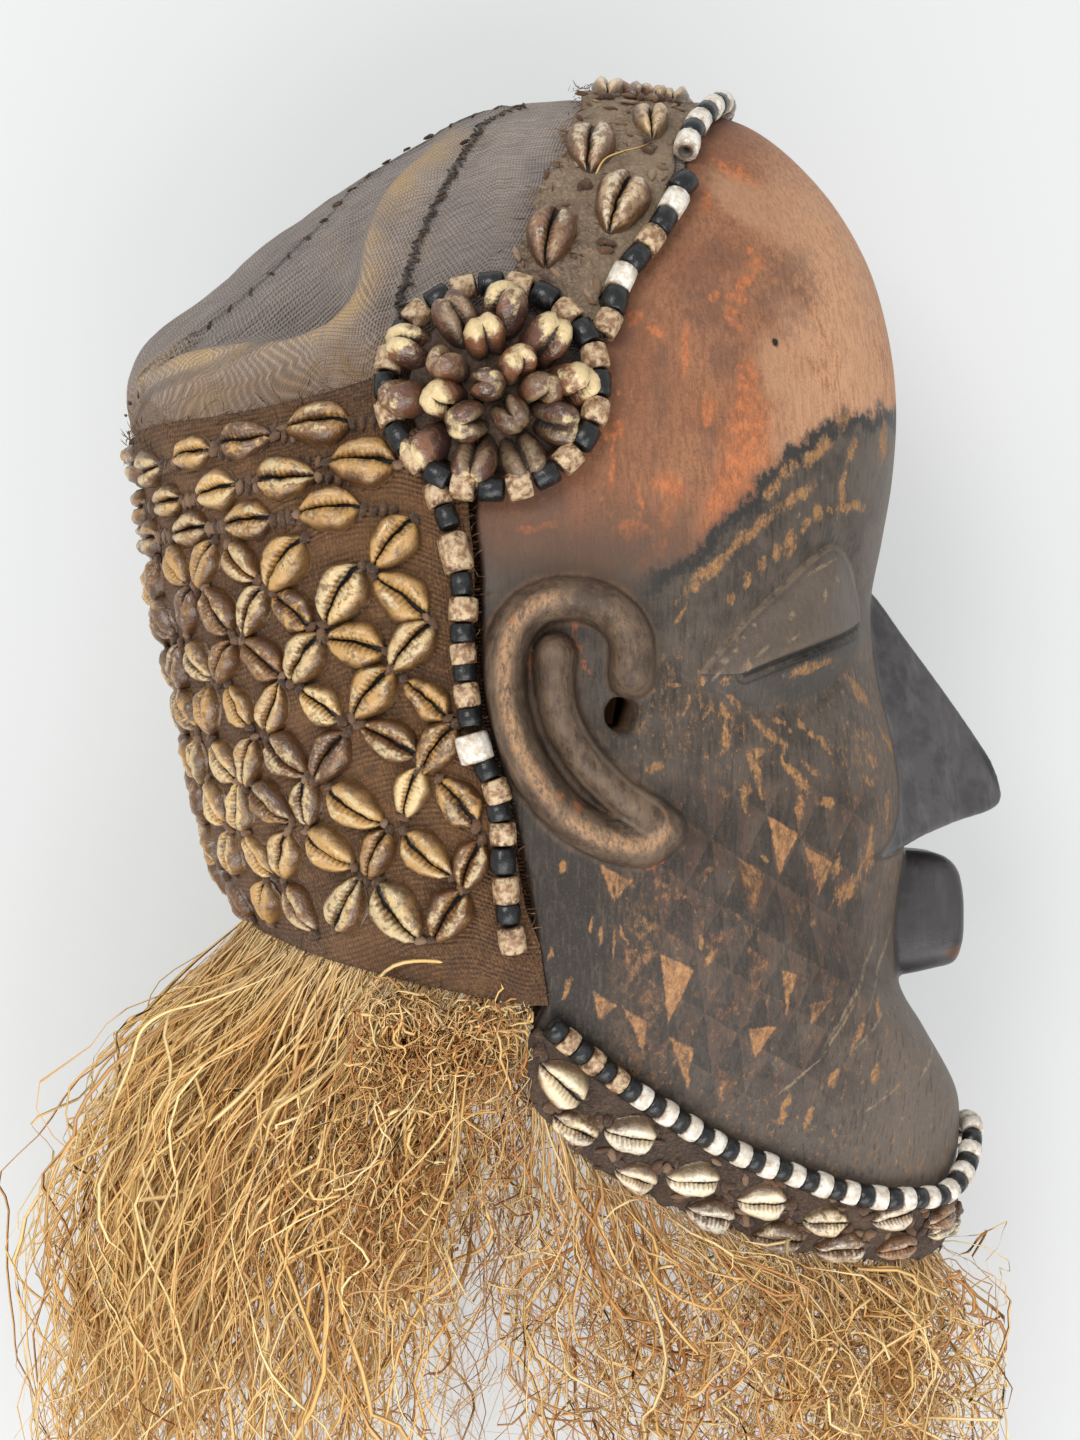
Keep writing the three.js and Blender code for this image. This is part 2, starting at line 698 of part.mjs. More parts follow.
for (const [name, side] of [["right", 1], ["left", -1]]) {
  const ring = beadString(rosetteRing(side), 10.1, true);
  const clearance = tube(
    rosetteRing(side).filter((p, i) => i % 5 === 0 && i < 120)
      .map((center) => ({ center, radius: BEAD.white + 1.2 })),
    8, true,
  );
  const flowers = rosette(side).subtract(egg(GAP + BAND + GAP)).subtract(clearance);
  add(`temple_rosette_${name}`, shellGloss, flowers.subtract(floorSlab()));
  add(`rosette_beads_${name}`, beadGlass, ring);
}

// Raffia fringes, bunched into curved walls that are open below and inside

const FRINGE = 12;

// Closed wall round a grid of points, thick across it
function wall(grid, thick) {
  const [rows, columns] = [grid.length, grid[0].length];
  const at = (i, j) =>
    grid[Math.min(rows - 1, Math.max(0, i))][Math.min(columns - 1, Math.max(0, j))];
  const points = [];
  for (const side of [-1, 1])
    for (let i = 0; i < rows; i++)
      for (let j = 0; j < columns; j++) {
        const down = at(i, j + 1).clone().sub(at(i, j - 1));
        const round = at(i + 1, j).clone().sub(at(i - 1, j));
        const normal = round.cross(down).normalize();
        points.push(at(i, j).clone().addScaledVector(normal, (side * thick) / 2));
      }
  const faces = [];
  const layer = rows * columns;
  const id = (side, i, j) => side * layer + i * columns + j;
  for (let i = 0; i + 1 < rows; i++)
    for (let j = 0; j + 1 < columns; j++) {
      const [a, b, c, d] = [[i, j], [i + 1, j], [i + 1, j + 1], [i, j + 1]];
      faces.push([id(1, ...a), id(1, ...b), id(1, ...c)], [id(1, ...a), id(1, ...c), id(1, ...d)]);
      faces.push([id(0, ...c), id(0, ...b), id(0, ...a)], [id(0, ...d), id(0, ...c), id(0, ...a)]);
    }
  const edge = [];
  for (let i = 0; i < rows - 1; i++) edge.push([i, 0]);
  for (let j = 0; j < columns - 1; j++) edge.push([rows - 1, j]);
  for (let i = rows - 1; i > 0; i--) edge.push([i, columns - 1]);
  for (let j = columns - 1; j > 0; j--) edge.push([0, j]);
  edge.forEach((one, i) => {
    const next = edge[(i + 1) % edge.length];
    faces.push([id(0, ...one), id(0, ...next), id(1, ...next)]);
    faces.push([id(0, ...one), id(1, ...next), id(1, ...one)]);
  });
  const made = solid(geometryOf(points, faces));
  return made.volume() > 0 ? made : solid(geometryOf(points, faces.map((f) => f.reverse())));
}

// Fringe hung inside a hem, whose edge line keeps it from bulging out before the cloth ends
function fringe(hem, middle, end, edge, inside, around = 12, down = 4) {
  const along = measured(hem);
  const through = (points) =>
    new THREE.CatmullRomCurve3(points.map(([x, y, z]) => new THREE.Vector3(x, y, z)));
  const [middleCurve, endCurve] = [through(middle), through(end)];
  const grid = [];
  for (let i = 0; i <= around; i++) {
    const share = i / around;
    const top = pointAt(hem, along, along.at(-1) * share);
    const strand = new THREE.CatmullRomCurve3([
      top, middleCurve.getPoint(share), endCurve.getPoint(share),
    ]);
    grid.push(strand.getPoints(down));
  }
  const above = throughHead([[-BEYOND, BEYOND], [-BEYOND, edge[0][1]], ...edge, [BEYOND, BEYOND]]);
  return wall(grid, FRINGE).subtract(above.subtract(egg(inside))).subtract(floorSlab());
}

const NAPE_LINE = [[-12, -89], [-38, -84], [-73, -76], [-108, -69], [-140, -60]];
const NAPE_FRINGE = {
  middle: [
    [-20, -205, 50], [-52, -205, 60], [-98, -205, 50], [-146, -205, 15], [-170, -205, -30],
    [-142, -205, -86], [-92, -205, -110], [-48, -205, -113], [-18, -205, -113],
  ],
  end: [
    [-28, -335, -10], [-62, -340, 2], [-108, -345, -2], [-162, -345, -24], [-204, -345, -62],
    [-162, -345, -104], [-104, -345, -113], [-55, -340, -113], [-24, -335, -113],
  ],
};
const napeHem = shifted(HOOD_HEM, -GAP);
add(
  "nape_fringe", raffia,
  fringe(
    lineOnSkin(NAPE_LINE, -10), NAPE_FRINGE.middle, NAPE_FRINGE.end,
    [...napeHem, [BEYOND, napeHem.at(-1)[1]]], -GAP - CLOTH - GAP,
  ),
);

const chinHem = shifted(jawLine, -WOOD_BELOW_STRING - 1.5);
const CHIN_FRINGE = {
  middle: [
    [10, -240, 38], [48, -252, 40], [92, -262, 28], [130, -268, 0], [160, -270, -32],
    [130, -268, -82], [92, -262, -106], [48, -252, -113], [10, -240, -113],
  ],
  end: [
    [18, -335, -15], [56, -340, -5], [100, -345, -12], [142, -345, -34], [170, -345, -66],
    [142, -345, -102], [100, -345, -113], [56, -340, -113], [18, -335, -113],
  ],
};
add(
  "chin_fringe", raffia,
  fringe(
    lineOnSkin(chinHem, -7.5), CHIN_FRINGE.middle, CHIN_FRINGE.end,
    shifted(CHIN_BAND_LOW, -3), -0.2,
  ).subtract(throughHead([
    [-BEYOND, BEYOND], [-BEYOND, chinHem[0][1]], ...shifted(chinHem, 0.8), [BEYOND, BEYOND],
  ])),
);

// The group rests on the floor

const part = new THREE.Group();
part.add(head);
head.position.set(HEAD_AT.x, HEAD_AT.y, REST_HEIGHT);

export default part;
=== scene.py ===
import math
from itertools import product

import bpy
import numpy as np
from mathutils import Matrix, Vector


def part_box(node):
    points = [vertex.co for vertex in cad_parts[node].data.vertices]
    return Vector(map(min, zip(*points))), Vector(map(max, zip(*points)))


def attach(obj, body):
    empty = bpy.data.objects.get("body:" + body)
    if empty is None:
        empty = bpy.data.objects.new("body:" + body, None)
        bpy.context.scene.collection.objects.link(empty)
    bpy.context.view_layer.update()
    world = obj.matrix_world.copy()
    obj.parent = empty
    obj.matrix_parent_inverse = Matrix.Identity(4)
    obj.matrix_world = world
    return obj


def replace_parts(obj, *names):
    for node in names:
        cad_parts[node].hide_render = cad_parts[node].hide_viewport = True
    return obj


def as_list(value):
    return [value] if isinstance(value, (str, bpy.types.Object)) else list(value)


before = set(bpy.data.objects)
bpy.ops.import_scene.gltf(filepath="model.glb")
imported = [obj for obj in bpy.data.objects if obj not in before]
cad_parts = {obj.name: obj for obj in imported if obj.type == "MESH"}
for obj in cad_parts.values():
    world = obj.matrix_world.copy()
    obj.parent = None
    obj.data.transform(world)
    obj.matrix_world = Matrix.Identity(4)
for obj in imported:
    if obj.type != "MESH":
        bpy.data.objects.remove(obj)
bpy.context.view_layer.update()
print("mask: frame loaded")

# Everything below is worked out in the mask's own millimetres: +X to the nose, +Y to the
# crown, +Z to its right side, with Z 0 at its middle plane, and moved into place at the end.
headAt = np.array((16.2, 52.2, 120.0))
fanCentre = np.array((0.0, 5.0, 0.0))
headSize = {"halfWidth": 106.0, "fullness": 2.15, "taper": 0.27, "taperFrom": 80.0, "taperTo": 210.0}
lens = {"height": 836.0, "focus": 2164.0, "across": 540.0, "down": 720.0, "long": 54.1, "sensor": 36.0}

headProfile = [
    (135.5, -84), (135.5, -45), (131.5, -8), (127, 24), (126.5, 46), (130.5, 68), (134.5, 92),
    (136, 121), (132.5, 149), (124, 176), (106, 204), (79, 226.5), (46, 234), (12, 237),
    (-20, 232), (-58, 213), (-96, 188), (-129, 161), (-152, 141), (-158, 120), (-154, 102),
    (-150, 84), (-146, 50), (-138, 15), (-131, -17), (-121, -55), (-107, -84), (-103, -122),
    (-86, -158), (-45, -188), (10, -206), (70, -216), (118, -216), (147, -206), (156, -188),
    (159.5, -170), (161, -153), (159.5, -141), (147, -117.5), (138, -102),
]
hairline = [
    (86, 266), (76, 238), (66, 226), (57, 214), (52, 202), (51, 190), (45, 176), (36, 162),
    (28, 151), (24, 137), (18, 126),
]
templeEdge = [(8, 115), (-4, 104), (-16, 92), (-21, 80), (-22, 68)]
rearRim = [(-20, 50), (-20, 32), (-19.5, 12), (-15.5, -8), (-8.5, -34), (-3, -62), (2, -97)]
jawString = [
    (3, -102), (9, -107.5), (25, -121), (40.5, -132.5), (63.5, -148), (89.5, -160.5),
    (113, -169.5), (134.5, -174), (148, -174), (155.5, -168), (159.5, -160), (162, -154),
    (190, -146),
]
crownHem = [(-200, 103), (-158, 105), (-103, 108), (-82, 112), (-55, 119), (-32, 120), (-14, 112)]
hoodHem = [(-140, -68), (-108, -77), (-73, -84), (-38, -92), (-3, -98)]
hairBandRear = [(14, 266), (17, 238), (9, 206), (0, 184), (-6, 168), (-8, 155), (-4, 144), (6, 132)]
chinBandLow = [
    (-4, -131), (12, -149), (28, -163), (56, -178), (94, -193), (122, -199), (148, -200), (190, -196),
]

# Curve through points with even speed, as the part's source draws its lines
def throughPoints(points, steps=8, closed=False):
    p = np.array(points, float)
    n = len(p)
    out = []
    for i in range(n if closed else n - 1):
        a, b = p[i], p[(i + 1) % n]
        before = p[(i - 1) % n] if closed or i else 2 * p[0] - p[1]
        after = p[(i + 2) % n] if closed or i + 2 < n else 2 * p[-1] - p[-2]
        d0, d1, d2 = (max(np.linalg.norm(w - v) ** 0.5, 1e-3) for v, w in ((before, a), (a, b), (b, after)))
        leave = ((a - before) / d0 - (b - before) / (d0 + d1) + (b - a) / d1) * d1
        arrive = ((b - a) / d1 - (after - a) / (d1 + d2) + (after - b) / d2) * d1
        t = (np.arange(steps) / steps)[:, None]
        out.append(
            (2 * t**3 - 3 * t**2 + 1) * a + (t**3 - 2 * t**2 + t) * leave
            + (3 * t**2 - 2 * t**3) * b + (t**3 - t**2) * arrive
        )
    if not closed:
        out.append(p[-1:])
    return np.concatenate(out)


# The line moved sideways, to the left of its own direction
def shifted(line, distance):
    p = np.array(line, float)
    way = np.concatenate((p[1:], p[-1:])) - np.concatenate((p[:1], p[:-1]))
    way /= np.linalg.norm(way, axis=1)[:, None]
    return p + distance * np.stack((-way[:, 1], way[:, 0]), 1)


# Points at even steps along a line
def evenly(line, count):
    along = np.concatenate(([0], np.cumsum(np.linalg.norm(np.diff(line, axis=0), axis=1))))
    want = np.linspace(0, along[-1], count)
    return np.stack([np.interp(want, along, line[:, k]) for k in range(line.shape[1])], 1)


def lengthOf(line):
    return float(np.linalg.norm(np.diff(line, axis=0), axis=1).sum())


def smoothstep(x, low, high):
    t = np.clip((x - low) / (high - low), 0, 1)
    return t * t * (3 - 2 * t)


def unit(v):
    return v / np.maximum(np.linalg.norm(v, axis=-1, keepdims=True), 1e-9)


# Soft minimum and maximum, that round off where two shapes meet over a width k
def softMin(a, b, k):
    h = np.maximum(k - np.abs(a - b), 0) / k
    return np.minimum(a, b) - h * h * k / 4


def softMax(a, b, k):
    return -softMin(-a, -b, k)


# The skin of the head

outline = throughPoints(np.array(headProfile) - fanCentre[:2], 18, True)
outlineAngle = np.arctan2(outline[:, 1], outline[:, 0])
outlineFar = np.hypot(outline[:, 0], outline[:, 1])


def outlineRadius(angle):
    return np.interp(angle, outlineAngle, outlineFar, period=2 * math.pi)


def halfWidth(x, y):
    s = headSize
    return s["halfWidth"] * (1 - s["taper"] * smoothstep(0.6 * x - 0.8 * y, s["taperFrom"], s["taperTo"]))


def skinShare(x, y):
    dx, dy = x - fanCentre[0], y - fanCentre[1]
    return np.hypot(dx, dy) / outlineRadius(np.arctan2(dy, dx))


# 1 on the skin, less inside and more outside
def skinLevel(p):
    x, y, z = p[..., 0], p[..., 1], p[..., 2]
    n = headSize["fullness"]
    return (skinShare(x, y) ** n + np.abs(z / halfWidth(x, y)) ** n) ** (1 / n)


def skinNormal(p):
    e = 0.5
    steps = np.eye(3) * e
    return unit(np.stack([skinLevel(p + s) - skinLevel(p - s) for s in steps], -1))


def onSkin(p, offset):
    for _ in range(3):
        p = fanCentre + (p - fanCentre) / skinLevel(p)[..., None]
    return p + skinNormal(p) * offset


def sideOf(line, offset):
    line = np.asarray(line, float)
    share = np.clip(skinShare(line[..., 0], line[..., 1]), 0, 0.9999)
    n = headSize["fullness"]
    z = halfWidth(line[..., 0], line[..., 1]) * (1 - share**n) ** (1 / n)
    return onSkin(np.concatenate((line, z[..., None]), -1), offset)


# A line drawn on the side of the head, laid on its skin and over the middle plane to the
# other side where it runs off the head
def overHead(line, offset, count=None):
    fine = throughPoints(line, 40)
    inside = skinShare(fine[:, 0], fine[:, 1]) < 1
    first = int(np.argmax(inside))
    kept = fine[first:][inside[first:]] if not inside[0] else fine[: int(np.argmin(inside)) or None]
    laid = sideOf(kept, 0)
    if inside[0] and not inside[-1]:
        edge = fine[int(np.argmin(inside))]
        laid = np.concatenate((laid, [(*edge, 0)], laid[::-1] * (1, 1, -1)))
    elif not inside[0]:
        laid = np.concatenate((laid[::-1], [(*fine[first], 0)], laid * (1, 1, -1)))
    laid = onSkin(laid, offset)
    return laid if count is None else evenly(laid, count)


# Where places in the photograph's 1080 x 1440 frame lie, at a height over the middle plane
def lensPlace(u, v, height):
    reach = (lens["height"] - height) / lens["focus"]
    return np.stack(np.broadcast_arrays((u - lens["across"]) * reach, (lens["down"] - v) * reach, height), -1)


# Where places on the mask are seen in that frame
def seenFrom(points):
    reach = (lens["height"] - np.abs(points[:, 2])) / lens["focus"]
    return points[:, 0] / reach + lens["across"], lens["down"] - points[:, 1] / reach


# Places in the photograph brought down onto the skin
def seenAt(places, offset=0.0):
    uv = np.array(places, float)
    p = lensPlace(uv[:, :1], uv[:, 1:2], np.linspace(112, -60, 345))
    level = skinLevel(p)
    hit = np.where((level < 1).any(1), (level < 1).argmax(1), level.argmin(1))
    return onSkin(p[np.arange(len(uv)), hit], offset)


# Signed distance to a closed outline, less than 0 inside
def shapeDistance(x, y, corners):
    c = np.array(corners, float)
    near = np.full(np.shape(x), 1e9)
    inside = np.zeros(np.shape(x), bool)
    for (ax, ay), (bx, by) in zip(c, np.roll(c, -1, 0)):
        vx, vy = bx - ax, by - ay
        t = np.clip(((x - ax) * vx + (y - ay) * vy) / max(vx * vx + vy * vy, 1e-9), 0, 1)
        near = np.minimum(near, (x - ax - t * vx) ** 2 + (y - ay - t * vy) ** 2)
        if ay != by:
            inside ^= ((ay > y) != (by > y)) & (x < vx * (y - ay) / vy + ax)
    return np.where(inside, -1, 1) * np.sqrt(near)


# Distance to an open line, and how far along it the nearest place is, from 0 to 1
def lineDistance(x, y, line):
    c = np.array(line, float)
    long = np.linalg.norm(np.diff(c, axis=0), axis=1)
    start = np.concatenate(([0], np.cumsum(long)))
    near = np.full(np.shape(x), 1e9)
    share = np.zeros(np.shape(x))
    for i, ((ax, ay), (bx, by)) in enumerate(zip(c[:-1], c[1:])):
        vx, vy = bx - ax, by - ay
        t = np.clip(((x - ax) * vx + (y - ay) * vy) / max(vx * vx + vy * vy, 1e-9), 0, 1)
        d = (x - ax - t * vx) ** 2 + (y - ay - t * vy) ** 2
        share = np.where(d < near, (start[i] + t * long[i]) / start[-1], share)
        near = np.minimum(near, d)
    return np.sqrt(near), share


def nearLine(points, line):
    near = np.full(len(points), 1e9)
    for a, b in zip(line[:-1], line[1:]):
        v = b - a
        t = np.clip((points - a) @ v / max(v @ v, 1e-9), 0, 1)[:, None]
        near = np.minimum(near, ((points - a - t * v) ** 2).sum(1))
    return np.sqrt(near)


# Smooth random hills between about -1 and 1, made of a few crossing waves
def hills(points, size, seed):
    rng = np.random.default_rng(seed)
    total = 0
    for _ in range(7):
        way = unit(rng.normal(size=points.shape[-1])) * 2 * math.pi / (size * rng.uniform(0.6, 1.6))
        total = total + np.sin(points @ way + rng.uniform(0, 6.3))
    return total / 4


# Meshes

def rowPlace(points):
    return (np.asarray(points, float) + headAt) / 1000


pieces = {}


def makePiece(name, points, faces, finish, marks=None):
    mesh = bpy.data.meshes.new(name)
    mesh.vertices.add(len(points))
    mesh.vertices.foreach_set("co", rowPlace(points).astype(np.float32).ravel())
    corners = np.concatenate([f.ravel() for f in faces]).astype(np.int32)
    sizes = np.concatenate([np.full(len(f), f.shape[1]) for f in faces])
    mesh.loops.add(len(corners))
    mesh.loops.foreach_set("vertex_index", corners)
    mesh.polygons.add(len(sizes))
    mesh.polygons.foreach_set("loop_start", (np.cumsum(sizes) - sizes).astype(np.int32))
    mesh.polygons.foreach_set("use_smooth", np.ones(len(sizes), bool))
    mesh.update(calc_edges=True)
    for mark, values in (marks or {}).items():
        values = np.asarray(values, np.float32)
        kind = "FLOAT_VECTOR" if values.ndim == 2 else "FLOAT"
        mesh.attributes.new(mark, kind, "POINT").data.foreach_set(
            "vector" if values.ndim == 2 else "value", values.ravel()
        )
    piece = bpy.data.objects.new(name, mesh)
    bpy.context.scene.collection.objects.link(piece)
    mesh.materials.append(finish)
    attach(piece, "root")
    pieces[name] = piece
    return piece


# Quads of a grid of rows x columns of points
def gridFaces(rows, columns, roundRows=False, roundColumns=False):
    i = np.arange(rows if roundRows else rows - 1)[:, None]
    j = np.arange(columns if roundColumns else columns - 1)[None, :]
    a, b = i * columns + j, i * columns + (j + 1) % columns
    c, d = ((i + 1) % rows) * columns + (j + 1) % columns, ((i + 1) % rows) * columns + j
    return np.stack((a, b, c, d), -1).reshape(-1, 4)


# Copies of one small mesh, each with its own place, axes and size
def stamped(points, faces, places, axes, sizes):
    local = points[None] * sizes[:, None, :]
    world = places[:, None, :] + np.einsum("npk,nkc->npc", local, axes)
    shift = np.arange(len(places))[:, None, None] * len(points)
    return world.reshape(-1, 3), [(f[None] + shift).reshape(-1, f.shape[1]) for f in faces]


# Axes of a thing on the skin: along it, across it and up off the skin
def axesOn(up, along):
    x = unit(along - (along * up).sum(-1, keepdims=True) * up)
    return np.stack((x, np.cross(up, x), up), 1)


# Surface where a field of distances is 0, one corner for every grid cell that it cuts
def fieldSurface(field, low, step):
    inside = field < 0
    size = np.array(field.shape) - 1
    count = np.zeros(size, np.uint8)
    for i, j, k in product((0, 1), repeat=3):
        count += inside[i : i + size[0], j : j + size[1], k : k + size[2]]
    cells = np.argwhere((count > 0) & (count < 8))
    number = np.full(size, -1, np.int32)
    number[tuple(cells.T)] = np.arange(len(cells))
    total = np.zeros((len(cells), 3))
    cuts = np.zeros(len(cells))
    for axis in range(3):
        others = [a for a in range(3) if a != axis]
        for offset in product((0, 1), repeat=2):
            a = np.zeros(3, int)
            a[others] = offset
            b = a.copy()
            b[axis] = 1
            fa, fb = field[tuple((cells + a).T)], field[tuple((cells + b).T)]
            cut = (fa < 0) != (fb < 0)
            t = np.where(cut, fa / np.where(cut, fa - fb, 1), 0)[:, None]
            total += np.where(cut[:, None], a + t * (b - a), 0)
            cuts += cut
    points = low + step * (cells + total / cuts[:, None])
    faces = []
    for axis in range(3):
        u, v = np.eye(3, dtype=int)[(axis + 1) % 3], np.eye(3, dtype=int)[(axis + 2) % 3]
        near = np.take(inside, range(size[axis]), axis)
        far = np.take(inside, range(1, size[axis] + 1), axis)
        at = np.argwhere(near != far)
        at = at[((at - u - v) >= 0).all(1) & (at < size).all(1)]
        quad = np.stack([number[tuple((at - s).T)] for s in (0 * u, u, u + v, v)], 1)
        turned = near[tuple(at.T)]
        faces.append(np.where(turned[:, None], quad, quad[:, ::-1]))
    faces = np.concatenate(faces)
    return points, faces[(faces >= 0).all(1)]


# Finishes

def tone(r, g, b):
    return tuple(c / 12.92 if c <= 0.04045 else ((c + 0.055) / 1.055) ** 2.4 for c in (r, g, b))


class Link:  # an output that can be used in plain arithmetic
    def __init__(self, finish, socket):
        self.finish, self.socket = finish, socket

    def out(self, name):
        return Link(self.finish, self.socket.node.outputs[name])

    def maths(self, operation, *values):
        return self.finish.node("ShaderNodeMath", {"operation": operation}, dict(enumerate(values)))

    def __add__(self, other):
        return self.maths("ADD", self, other)

    def __sub__(self, other):
        return self.maths("SUBTRACT", self, other)

    def __rsub__(self, other):
        return self.maths("SUBTRACT", other, self)

    def __mul__(self, other):
        return self.maths("MULTIPLY", self, other)

    def __gt__(self, other):
        return self.maths("GREATER_THAN", self, other)

    __radd__, __rmul__ = __add__, __mul__

    def most(self, other):
        return self.maths("MAXIMUM", self, other)

    def least(self, other):
        return self.maths("MINIMUM", self, other)

    def wave(self):
        return self.maths("SINE", self)

    def away(self):
        return self.maths("ABSOLUTE", self)

    def part(self):
        return self.maths("FRACT", self)

    # this colour with another over it, as far as the mask says
    def painted(self, mask, *colour):
        return self.finish.mix(mask, self, tone(*colour))

    # 0 below low, 1 above high, and smooth between
    def between(self, low, high):
        sockets = {"Value": self, "From Min": low, "From Max": high}
        return self.finish.node("ShaderNodeMapRange", {"interpolation_type": "SMOOTHSTEP"}, sockets)


class Finish:
    def __init__(self, name):
        self.material = bpy.data.materials.new(name)
        self.material.use_nodes = True
        self.tree = self.material.node_tree
        self.tree.nodes.clear()

    def node(self, kind, settings=None, sockets=None, out=0):
        made = self.tree.nodes.new(kind)
        for key, value in (settings or {}).items():
            setattr(made, key, value)
        for key, value in (sockets or {}).items():
            socket = made.inputs[key]
            if isinstance(value, Link):
                self.tree.links.new(value.socket, socket)
            else:
                socket.default_value = (*value, 1) if socket.type == "RGBA" else value
        return Link(self, made.outputs[out]) if len(made.outputs) else None

    def place(self):
        return self.node("ShaderNodeTexCoord", out="Object")

    def mark(self, name, out="Fac"):
        return self.node("ShaderNodeAttribute", {"attribute_name": name}, out=out)

    def parts(self, vector):
        split = self.node("ShaderNodeSeparateXYZ", sockets={0: vector})
        return split, split.out("Y"), split.out("Z")

    def vectors(self, operation, *values, out=0):
        return self.node("ShaderNodeVectorMath", {"operation": operation}, dict(enumerate(values)), out)

    def dot(self, vector, by):
        return self.vectors("DOT_PRODUCT", vector, tuple(by), out="Value")

    # A place in the plane as its squares and its sides, for strokes worked out by dot products
    def plane(self, x, y):
        squares = self.node("ShaderNodeCombineXYZ", {}, {0: x * x, 1: x * y, 2: y * y})
        return squares, self.node("ShaderNodeCombineXYZ", {}, {0: x, 1: y, 2: 1.0})

    def stretched(self, vector, x, y, z):
        return self.vectors("MULTIPLY", vector, (x, y, z))

    def noise(self, vector, size, detail, rough=0.55):
        sockets = {"Vector": vector, "Scale": 1 / size, "Detail": detail, "Roughness": rough}
        return self.node("ShaderNodeTexNoise", {}, sockets)

    def mix(self, factor, a, b):
        settings = {"data_type": "RGBA", "clamp_factor": True}
        return self.node("ShaderNodeMix", settings, {0: factor, 6: a, 7: b}, out=2)

    def bump(self, height, deep):
        return self.node("ShaderNodeBump", {}, {"Height": height, "Distance": deep, "Strength": 1.0})

    def done(self, colour, roughness, normal=None, **fixed):
        sockets = {"Base Color": colour, "Roughness": roughness}
        if normal is not None:
            sockets["Normal"] = normal
        sockets.update({key.replace("_", " "): value for key, value in fixed.items()})
        shader = self.node("ShaderNodeBsdfPrincipled", {}, sockets)
        self.node("ShaderNodeOutputMaterial", {}, {"Surface": shader})
        return self.material


# Camera straight above the mask, as the photograph was taken, and soft studio light

studio = {
    "floor": 4.0, "floorTone": (0.34, 0.343, 0.343), "floorGlow": (0.80, 0.82, 0.815), "glowPower": 0.50,
    "world": (0.93, 0.95, 0.96), "worldPower": 0.70,
    "lamps": [
        {"at": (-1.9, 1.9, 4.4), "size": 2.0, "power": 106, "tint": (1.0, 0.985, 0.965)},
        {"at": (1.9, -2.4, 3.8), "size": 2.4, "power": 56, "tint": (0.975, 0.985, 1.0)},
        {"at": (-0.3, -2.7, 2.4), "size": 3.0, "power": 78, "tint": (1.0, 0.99, 0.975)},
    ],
}


def makeStudio():
    scene = bpy.context.scene
    view = bpy.data.cameras.new("view")
    view.lens, view.sensor_width = lens["long"], lens["sensor"]
    camera = bpy.data.objects.new("view", view)
    camera.location = rowPlace((0, 0, lens["height"]))
    scene.collection.objects.link(camera)
    scene.camera = camera
    world = bpy.data.worlds.new("studio")
    world.use_nodes = True
    air = world.node_tree.nodes["Background"]
    air.inputs["Color"].default_value = (*studio["world"], 1)
    air.inputs["Strength"].default_value = studio["worldPower"]
    scene.world = world
    scene.view_settings.view_transform = "Standard"
    for i, lamp in enumerate(studio["lamps"]):
        light = bpy.data.lights.new(f"lamp_{i}", "AREA")
        light.size, light.energy, light.color = lamp["size"], lamp["power"], lamp["tint"]
        holder = bpy.data.objects.new(f"lamp_{i}", light)
        holder.location = lamp["at"]
        holder.rotation_euler = (Vector((0, 0, 0.1)) - holder.location).to_track_quat("-Z", "Y").to_euler()
        scene.collection.objects.link(holder)
    paper = Finish("floor_paper")
    grain = paper.noise(paper.place(), 0.4, 2)
    sheet = paper.mix(grain, studio["floorTone"], tuple(c * 0.98 for c in studio["floorTone"]))
    half = studio["floor"]
    mesh = bpy.data.meshes.new("floor")
    corners = [(-half, -half, 0), (half, -half, 0), (half, half, 0), (-half, half, 0)]
    mesh.from_pydata(corners, [], [(0, 1, 2, 3)])
    glow = {"Emission_Color": studio["floorGlow"], "Emission_Strength": studio["glowPower"]}
    mesh.materials.append(paper.done(sheet, 0.8, **glow))
    floor = bpy.data.objects.new("floor", mesh)
    scene.collection.objects.link(floor)


makeStudio()
print("mask: camera, light and floor")


# The wooden face

face = {
    "step": 1.25, "wall": 14.0, "floorGap": 0.05, "reach": ((-26, 183), (-212, 243), 124),
    "muzzle": {"rise": 4.5, "y": -30, "tall": 34},
    "lid": [(54, 12), (62, 24), (72, 35), (84, 46), (95, 56), (104, 61.5), (110, 58), (114, 50), (117, 40),
            (117, 30), (113, 22), (104, 13), (95, 8), (84, 4.5), (72, 4), (62, 7)],
    "slit": [(70, 15.5), (80, 19.5), (90, 23.3), (100, 27), (110, 31), (119, 36)],
    "lowerCrease": [(68, 8), (80, 3.5), (92, 4), (102, 11), (109, 19)],
    "earRim": [(31, 15), (30.5, 28), (23, 37.5), (10, 41), (-1, 38.5), (-8, 32), (-11.5, 22), (-11.5, 7),
               (-7.5, -7.5), (0, -21.5), (11.5, -34), (25, -40.5), (35.5, -41.5), (41.5, -37)],
    "earRidge": [(5, 22), (5, 10), (8, -2), (15.5, -14), (26, -25), (37, -33)],
    "earRolls": {"earRim": (7.4, 15.6, 1.12), "earRidge": (6.5, 12.0, 1.2)},
    "earHole": (27, 2, 6), "boreSlant": (0.6, -0.28),
    "nose": [(105, 55), (118, 56), (126.5, 51), (141.6, 30.9), (157.1, 9.8), (168.9, -7.3), (174, -15.5),
             (177.6, -25), (177.8, -30), (174.5, -33.8), (158, -38.5), (143, -43.2), (125, -49), (105, -40)],
    "noseRidge": [(120, 60), (127.5, 49.5), (141.6, 30.9), (157.1, 9.8), (168.9, -7.3), (178, -27)],
    "mouth": [(112, -50), (139, -49.5), (153.5, -51.5), (158.5, -56), (160.5, -64), (161, -75), (160.3, -85),
              (157.5, -92), (150, -94.5), (136, -97.5), (112, -99)],
    "mouthHalf": 21.0,
}


